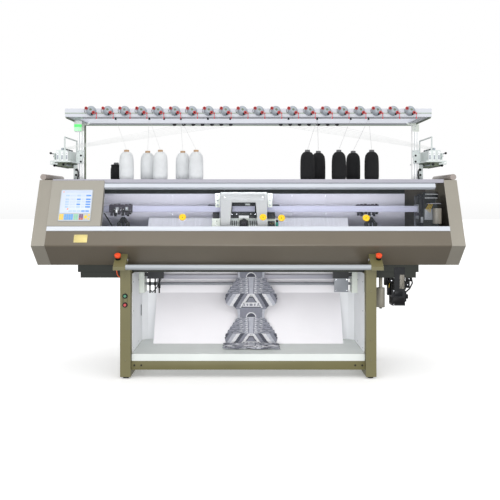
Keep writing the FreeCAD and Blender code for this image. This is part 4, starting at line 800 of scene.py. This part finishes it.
piece = Piece("lip_screws")
for x in (-591, 0, 598, 1195):
    piece.lathe([(5, 0), (5, 2.4), (3.6, 3.4), (2.2, 3.4), (2, 1.6)],
                (x, -190, 1240), FORWARD, STEEL, 14)
piece.box(-956, 1245, -190.8, -190, 1251, 1258, "dome_grey", 0.3)
# A thin dark line under the table: painted shade in the gap between table and lip.
piece.box(-956, 1245, -190.6, -190, 1258.6, 1260.6, "painted_shade_dark", 0.2)
piece.done()

piece = Piece("yarn_clamps")
for x in (-869, 852):
    piece.rod(9, (x, 24, 790), (x, 24, 1024), STEEL)
    piece.lathe([(9, 0), (13, 3), (13, 16), (9, 19)], (x, 24, 1000), UP, PLASTIC, 20)
    for way in (-1, 1):
        knee, foot = (x + way * 17, 20, 1000), (x + way * 30, 20, 980)
        piece.wire([(x, 22, 1022), (x + way * 8, 21, 1016), knee, foot], 11, PLASTIC, 12)
        piece.lathe([(10, 0), (15, 4), (15, 24), (10, 30)],
                    (foot[0], foot[1], 962), UP, "black_rubber", 18)
        piece.wire([(x + way * 6, 16, 1006), (x + way * 22, 12, 1006), (x + way * 30, 12, 998)],
                   1.6, "violet_black", 8)
piece.rod(4.5, (-1004, 24, 1056), (-938, 24, 950), STEEL)
piece.done()

for name, body, x in (("carrier_trim_left", "yarn_carrier_left", -880),
                      ("carrier_trim_right", "yarn_carrier_right", 835)):
    low, high = (Vector(v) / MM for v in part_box(body))
    piece = Piece(name, body)
    y = low.y if x < 0 else high.y - 28.6
    below = -14 if x < 0 else 44
    for k, (a, b) in enumerate(((-74, -56), (-50, -28), (-24, -2), (2, 22), (28, 48), (54, 72))):
        piece.box(x + a, x + b, below, below + 14, 1036 + 5 * (k % 3), 1060,
                  ("violet_black", PLASTIC)[k % 2], 1.5)
        piece.box(x + a, x + b, y + 6, y + 20, high.z - 1, high.z + 3 + 2 * (k % 3), "violet_black", 1)
    for k, (a, b) in enumerate(((-76, -58), (-52, -40), (-34, -14), (-8, 8), (14, 26), (32, 52), (58, 74))):
        z = high.z - 30 + 7 * (k % 3)
        piece.box(x + a, x + b, y - 3, y, z - 22, z, ("violet_black", PLASTIC, "cast_grey")[k % 3], 1)
        piece.screw((x + (a + b) / 2, y - 3, z - 8), 2.6)
        piece.rod(2.4, (x + b + 2, y - 1, z - 24), (x + b + 2, y - 1, z - 4), STEEL, 10)
    piece.box(x - 34, x - 22, y - 5, y - 2, high.z - 54, high.z - 34, "white_paint", 1)
    piece.box(x - 70, x + 70, y - 2, y + 2, high.z - 50, high.z - 42, PLASTIC, 1)
    if x < 0:
        piece.box(x - 108, x - 72, -12, 0, 1060, 1094, STEEL, 2)
    piece.done()

# ---- carriage ----
piece = Piece("carriage_details", "carriage")
low, high = (Vector(v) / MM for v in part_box("carriage_bow"))
FRONT_Y, MID_X = low.y, -30
for side in (-1, 1):
    x = MID_X + side * 178
    piece.box(x - 16, x + 16, -92, -84, 1096, 1192, "pale_paint", 1.5)
    for z in (1112, 1146, 1178):
        piece.lathe([(6, 0), (6.5, 1), (6.5, 8), (4.5, 10), (2.5, 10.4)],
                    (x, -92, z), FORWARD, "dome_grey", 20)
    for k in range(9):
        coil_x, angles = x + side * (20 + 5 * k), [math.tau * j / 10 for j in range(11)]
        piece.wire([(coil_x + 2.2 * math.cos(a), -88, 1111 + 4.5 * math.sin(a)) for a in angles],
                   0.9, STEEL, 6)
    piece.rod(3, (x + side * 16, -88, 1111), (x + side * 66, -88, 1111), STEEL, 10)


def slope_block(x0, x1, z0, z1, stand, mat, soft=1.5):
    """A block that stands on the sloping front of a cam box; its foot is at the box's own face."""
    y0, y1 = z0 - BOX_SLOPE, z1 - BOX_SLOPE
    outline = [(y0, z0), (y0 - stand, z0 + stand * 0.3), (y1 - stand, z1), (y1 + 2, z1)]
    piece.prism(outline, "x", x0, x1, mat, soft)


slope_block(-246, -190, 960, 1020, 22, "pale_paint")
slope_block(-131, -69, 958, 1021, 26, "cast_white")
slope_block(5, 73, 958, 1018, 26, "cast_white")
for x0, x1 in ((-243, -198), (128, 184)):
    piece.prism([(-66, 1018), (-84, 1023), (-54, 1062), (-38, 1062), (-38, 1050), (-60, 1023)],
                "x", x0, x1, PLASTIC, 1.5)
slope_block(134, 180, 958, 1003, 24, PLASTIC)
for x0 in (-126, 10):
    for k in range(4):
        piece.box(x0 + 15 * k, x0 + 15 * k + 5, -146, -108, 972, 1006, STEEL, 0.6)
for x, z, mat in ((-214, 1002, STEEL), (-222, 980, "bright_steel"), (-206, 974, "bright_steel"),
                  (150, 985, "cable_yellow"), (160, 978, "cable_yellow"), (168, 988, "cable_yellow")):
    piece.rod(3.5, (x, z - BOX_SLOPE - 27, z), (x, z - BOX_SLOPE - 10, z), mat, 12)
for z, mat in ((994, "blue_plastic"), (972, "green_plastic")):
    piece.box(-248, -240, z - BOX_SLOPE - 16, z - BOX_SLOPE + 6, z - 8, z + 7, mat, 1)
piece.boxes((
    (186, 205, -122, -104, 960, 994, "teal_plastic", 1.2), (188, 203, -121, -105, 994, 1010, PLASTIC, 1.2),
    (-118, 48, -66, -50, 1104, 1128, PLASTIC, 2), (-20, 12, -68, -66, 1110, 1122, "cast_white", 0.8),
    (-122, -110, -64, -50, 1040, 1104, PLASTIC, 1.5), (46, 58, -64, -50, 1040, 1104, PLASTIC, 1.5),
    (-122, 58, -64, -50, 1036, 1062, STEEL, 2), (-65, 5, -67, -62, 1020, 1040, "white_paint", 1)))
for x in (-112, -78, 18, 48):
    piece.screw((x, -64, 1049), 3.4)
piece.prism([(-59, 962), (-1, 962), (-1, 1006), (-30, 1021), (-59, 1006)], "y", -122, -66, PLASTIC, 2)
piece.box(-44, -16, -125, -122, 974, 998, "violet_black", 1)
piece.prism(rect(MID_X - 140, MID_X + 140, 1143, 1184, 8),
            "y", FRONT_Y + 1.5, FRONT_Y - 1.2, "bow_white", 0.6)
for x in (-128, 128):
    piece.screw((MID_X + x, FRONT_Y - 1.2, 1163), 4)
for x in (-90, 30):
    piece.rod(16, (x, 30, high.z - 6), (x, 30, high.z + 3), "bow_white", 24)
piece.done()

# ---- right end ----
piece = Piece("end_mechanism")
piece.boxes((
    (1172, 1197, -66, 20, 955, 1188, PLASTIC), (1150, 1172, -60, 0, 1120, 1176, STEEL),
    (1146, 1176, -64, -40, 1040, 1060, "violet_black"), (1150, 1174, -70, -50, 968, 1016, STEEL),
    (1176, 1190, -74, -66, 1080, 1150, STEEL), (1180, 1196, -78, -66, 990, 1030, "cast_grey"),
    (1222, 1300, -150, -60, 1120, 1124, "light_grey"), (1206, 1300, -68, -60, 1150, 1196, STEEL),
    (1262, 1302, -150, -66, 985, 1090, "beige_paint"),
    (1205, 1258, -84, -60, 1010, 1086, "cast_grey")), 1.5)
for row, z in enumerate((1160, 1186)):
    for k in range(9):
        x = 1212 + 9.6 * k + 3 * row
        piece.lathe([(3.4, 0), (3.4, 10), (2.4, 12)], (x, -68, z), FORWARD, "lamp_white", 12)
for k in range(4):
    x = 1212 + 9 * k
    piece.wire([(x, -84, 1080 - 6 * k), (x + 4, -96, 1092), (x + 12, -98, 1106), (x + 18, -90, 1120)],
               1.8, "cable_yellow", 8)
piece.rod(4, (1200, -72, 1090), (1200, -72, 1180), STEEL)
piece.done()

# ---- rack ----
piece = Piece("tensioner_units")
for k in range(20):
    x, z = -1008 + 107.7 * k, 1718
    piece.lathe([(30, 0), (32, 2), (32, 9), (29.5, 20), (24, 31), (15, 38), (6, 41)],
                (x, -396, z), FORWARD, "dome_grey", 32)
    piece.lathe([(9, 0), (9, 2.5), (6.5, 4), (3, 4.2)], (x + 2, -433, z + 4), FORWARD, "cast_shade", 18)
    for dx, dz in ((-12, 6), (11, 8), (4, -14), (-16, -8)):
        piece.lathe([(3.2, 0), (3.2, 3), (2, 4)], (x + dx, -424, z + dz), FORWARD, STEEL, 10)
    for dx, dz in ((-26, 14), (20, -14)):
        piece.lathe([(10, 0), (10.4, 2), (10.4, 6), (8.4, 8), (5, 8), (4.4, 6)],
                    (x + dx, -429, z + dz), FORWARD, "red_plastic", 22)
        piece.lathe([(4, 0), (4, 2.4), (2.6, 3.2)], (x + dx, -435, z + dz), FORWARD, PLASTIC, 12)
    piece.lathe([(6.5, 0), (6.5, 4), (4.5, 5.4)], (x + 10, -432, z - 24), FORWARD, PLASTIC, 16)
    piece.wire([(x - 34, -415, z + 10), (x - 40, -418, z + 4), (x - 38, -420, z - 12),
                (x - 30, -420, z - 18)], 1.3, STEEL, 8)
# A pale green strip below the units: painted shade of the rack's underside.
piece.box(-1178, 1178, -396.5, -394.6, 1701, 1707, "rack_painted_shade", 0.4)
piece.done(["tensioners"])

piece = Piece("eyelet_caps")
for x in LOWER_EYELETS[-1] + LOWER_EYELETS[1]:
    piece.lathe([(7, 0), (11, 3), (13.5, 8), (14, 11), (12, 12.5)],
                (x, LOWER_Y, EYELET_LOW + 0.5), UP, PLASTIC, 22)
piece.done()

piece = Piece("rack_gussets")
for side in (-1, 1):
    outline = [(side * x, z) for x, z in (
        (1176, RACK_LOW), (1098, RACK_LOW), (1112, 1668), (1142, 1664), (1142, 1634), (1150, 1622),
        (1188, 1622), (1188, 1668))]
    piece.prism(outline, "y", 14, 19.5, "pale_paint", 1)
    # A band along the rack's foot above each post: painted shade of its underside.
    piece.box(*mirrored(side, 1166, 1176), -386, 14, 1672, RACK_LOW, "cast_shade", 1)
    for x, z in ((1160, 1640), (1160, 1660), (1124, 1674)):
        piece.screw((side * x, 14, z), 4)
# A strip along the rack's rear foot: painted shade of its underside.
piece.box(-1174, 1174, 130, 149, 1674, RACK_LOW, "rack_painted_shade", 0.8)
piece.done()

piece = Piece("signal_tower")
for z0, z1, r, mat in ((1605, 1611, 21, "lamp_white"), (1611, 1634, 25, "lamp_pale"),
                       (1634, 1636, 26, "lamp_white"), (1636, 1654, 25.5, "lamp_green"),
                       (1654, RACK_LOW, 27, "lamp_white")):
    high = z1 - z0
    piece.lathe([(r - 1.6, 0), (r, 1.4), (r, high - 1.4), (r - 1.6, high)],
                (-1148, -150, z0), UP, mat, 36)
piece.done(["signal_lamp"])

piece = Piece("post_fittings")
for side in (-1, 1):
    x = side * POST_X
    # Two darker strips for the post's grooves: painted shade.
    for dx in (-9, 9):
        piece.box(x + dx - 1.6, x + dx + 1.6, 18.8, 20.4, 1290, 1618, "dome_grey", 0.5)
    piece.box(x - 34, x + 34, 10, 19.5, TABLE_TOP, 1291, "cast_white", 1.2)
    piece.box(x - 26, x + 26, 12, 19.6, 1440, 1492, "cast_white", 2)
    for dx in (-16, 16):
        for z in (1450, 1482):
            piece.screw((x + dx, 12, z), 4.2)
piece.done()

# ---- side feeders ----
for side, name in ((-1, "left"), (1, "right")):
    piece = Piece(f"feeder_fittings_{name}")
    for i, y in enumerate(GUIDE_Y):
        piece.lathe([(7.5, 0), (9, 1.5), (9, 12), (7, 16), (4, 16), (3.4, 12)],
                    (side * GUIDE_X, y, 1481), UP, STEEL if i % 3 else "dome_grey", 16)
        piece.box(*mirrored(side, 1300, 1306), y - 8, y + 8, 1418, 1462, "cast_white", 1.5)
        piece.lathe([(6, 0), (6, 3), (4, 4)], (side * 1306, y, 1440), (side, 0, 0), STEEL, 12)
    for x, z, y0, y1, r, mat in ((1316, 1458, -214, 60, 4.5, "bright_steel"),
                                 (1292, 1376, -210, 190, 5.5, STEEL),
                                 (1236, 1384, -196, 150, 5, "dome_grey")):
        piece.rod(r, (side * x, y0, z), (side * x, y1, z), mat)
        piece.lathe([(r + 2, 0), (r + 3, 2), (r + 3, 10), (r + 1, 13)],
                    (side * x, y0, z), (0, 1, 0), PLASTIC, 18)
    # Ribs and a thin plate under the feeder: painted shade of its underside.
    for y in (-150, 20, 170):
        piece.box(*mirrored(side, 1226, 1300), y - 5, y + 5, 1372, 1400, "cast_shade", 1.5)
    piece.box(*mirrored(side, 1196, 1296), -180, 300, 1396, 1399.6, "cast_shade", 1)
    for x in (1206, 1236, 1266):
        piece.box(*mirrored(side, x, x + 16), -194.5, -190, 1406, 1472, "lamp_white", 1)
        piece.box(*mirrored(side, x + 3, x + 13), -195.5, -194, 1418, 1446, "dome_grey", 1)
        piece.screw((side * (x + 7), -193.5, 1458), 3.4)
    piece.box(*mirrored(side, 1178, 1216), 22, 60, 1291, 1392, "cast_white", 2)
    piece.box(*mirrored(side, 1148, 1196), 2, 18, 1400, 1466, "cast_white", 3)
    for z in (1412, 1454):
        piece.lathe([(7, 0), (7, 3), (4, 5)], (side * 1160, 2, z), FORWARD, STEEL, 16)
    for z in (1320, 1356):
        piece.lathe([(8, 0), (8, 4), (5, 6)], (side * 1197, 22, z), FORWARD, STEEL, 16)
    piece.wire([(side * 1186, 12, 1292), (side * 1178, 4, 1318), (side * 1180, 2, 1344),
                (side * 1190, 10, 1362)], 4.5, "black_rubber", 12)
    piece.done()

# ---- the bay ----
piece = Piece("bay_fittings")
for side in (-1, 1):
    x = side * 751.5
    for y, z in ((-300, 180), (-300, 420), (-300, 610), (-60, 180), (-60, 600)):
        piece.lathe([(4.4, 0), (4.4, 1.4), (3, 2.6)], (x, y, z), (-side, 0, 0), "bright_steel", 14)
piece.prism([(52, 337), (68, 337), (68, 414), (52, 414)], "x", -751, -748.6, PLASTIC, 0.8)
for x in (-676, -640, -612):
    piece.rod(5, (x, -40, 506), (x, -40, 612), STEEL)
    piece.box(x - 8, x + 8, -48, -32, 540 + (x % 3) * 9, 566 + (x % 3) * 9, PLASTIC, 2)
piece.wire([(-676, -40, 530), (-660, -44, 512), (-640, -40, 530), (-622, -44, 556), (-600, -40, 606)],
           4, "black_rubber")
piece.box(592, 690, -38, -26, 512, 610, "cast_grey", 1.5)
for x in (604, 678):
    for z in (524, 598):
        piece.screw((x, -38, z), 4)
piece.done()

piece = Piece("beam_screws")
for side in (-1, 1):
    for x in (735, 690):
        piece.screw((side * x, -375, 80), 6, STEEL)
    for z in (650, 560, 250, 120):
        piece.lathe([(5.5, 0), (5.5, 1.4), (3.6, 3)], (side * 788, -410, z), FORWARD, "olive_paint", 16)
    for y, z in ((-430, 722), (-372, 722), (-372, 760)):
        piece.lathe([(6.5, 0), (6.5, 2), (4.4, 4)], (side * 779.6, y, z), (-side, 0, 0), "light_grey", 18)
piece.done()

# ---- motors ----
piece = Piece("motor_fittings")
piece.boxes((
    (958, 1034, -240, -235, 456, 500, PLASTIC), (970, 1022, -244, -239, 508, 544, STEEL),
    (1040, 1052, -220, -150, 470, 540, STEEL), (1044, 1066, -208, -170, 488, 516, PLASTIC),
    (944, 954, -226, -180, 462, 500, "black_rubber"), (975, 1015, -236, -200, 552, 566, PLASTIC),
    (1002, 1036, -239, -222, 556, 652, "beige_paint"), (914, 950, -178, -144, 574, 650, PLASTIC),
    (934, 962, -178, -142, 508, 596, STEEL), (948, 968, -178, -150, 566, 606, "dome_grey"),
    (986, 1006, -238, -206, 566, 592, "cast_shade")), 2)
for k in range(6):
    piece.box(956, 1036, -237.5, -234.6, 462 + 7 * k, 465 + 7 * k, "black_rubber", 0.6)
for dx, dz in ((-32, 455), (32, 455), (-32, 544), (32, 544)):
    piece.screw((996 + dx, -236, dz), 4)
for x, y, r in ((1018, -222, 9), (966, -218, 7)):
    piece.rod(r, (x, y, 548), (x, y, 628), "black_rubber")
    for z in (572, 590, 608):
        piece.lathe([(r + 1, 0), (r + 2, 2), (r + 2, 6), (r + 1, 8)], (x, y, z), UP, PLASTIC, 18)
for x0, x1, z0, z1 in ((1046, 1076, 560, 604), (1052, 1090, 604, 640), (1000, 1034, 596, 640),
                       (940, 968, 590, 630)):
    piece.box(x0, x1, -214, -176, z0, z1, PLASTIC, 3)
    piece.screw(((x0 + x1) / 2, -214, (z0 + z1) / 2), 5)
for radius, points in (
        (5, ((1060, -196, 640), (1088, -204, 626), (1094, -206, 592), (1076, -206, 556), (1050, -200, 530))),
        (4, ((1034, -200, 620), (1050, -210, 590), (1046, -214, 552), (1030, -212, 540))),
        (6, ((946, -198, 646), (950, -202, 620), (958, -206, 580), (956, -200, 536)))):
    piece.wire(points, radius, "black_rubber", 10)
piece.wire([(940, -196, 640), (944, -198, 604), (940, -196, 560)], 1.8, "cable_yellow", 8)
piece.done()

piece = Piece("filter_cup")
piece.lathe([(20, 0), (25.5, 6), (27.2, 14), (27.2, 84), (26, 92), (27.4, 94), (27.4, 112),
             (22, 122), (15, 128)], (886, -185, 430), UP, "filter_grey", 36)
piece.lathe([(9, 0), (9, 12)], (886, -185, 420), UP, PLASTIC, 20)
piece.done()

# ---- lower frame: beams and the pale tie bars between the bearing blocks ----
piece = Piece("beams_and_ties")
for y in (-375, 309):
    piece.box(-754, 754, y, y + 50, 51, 108, "olive_paint", 1.5)
for z0, z1 in ((590, 618), (553, 566)):
    piece.box(-716, 716, 95, 107, z0, z1, "light_grey", 1.5)
piece.done(["cross_beams"])
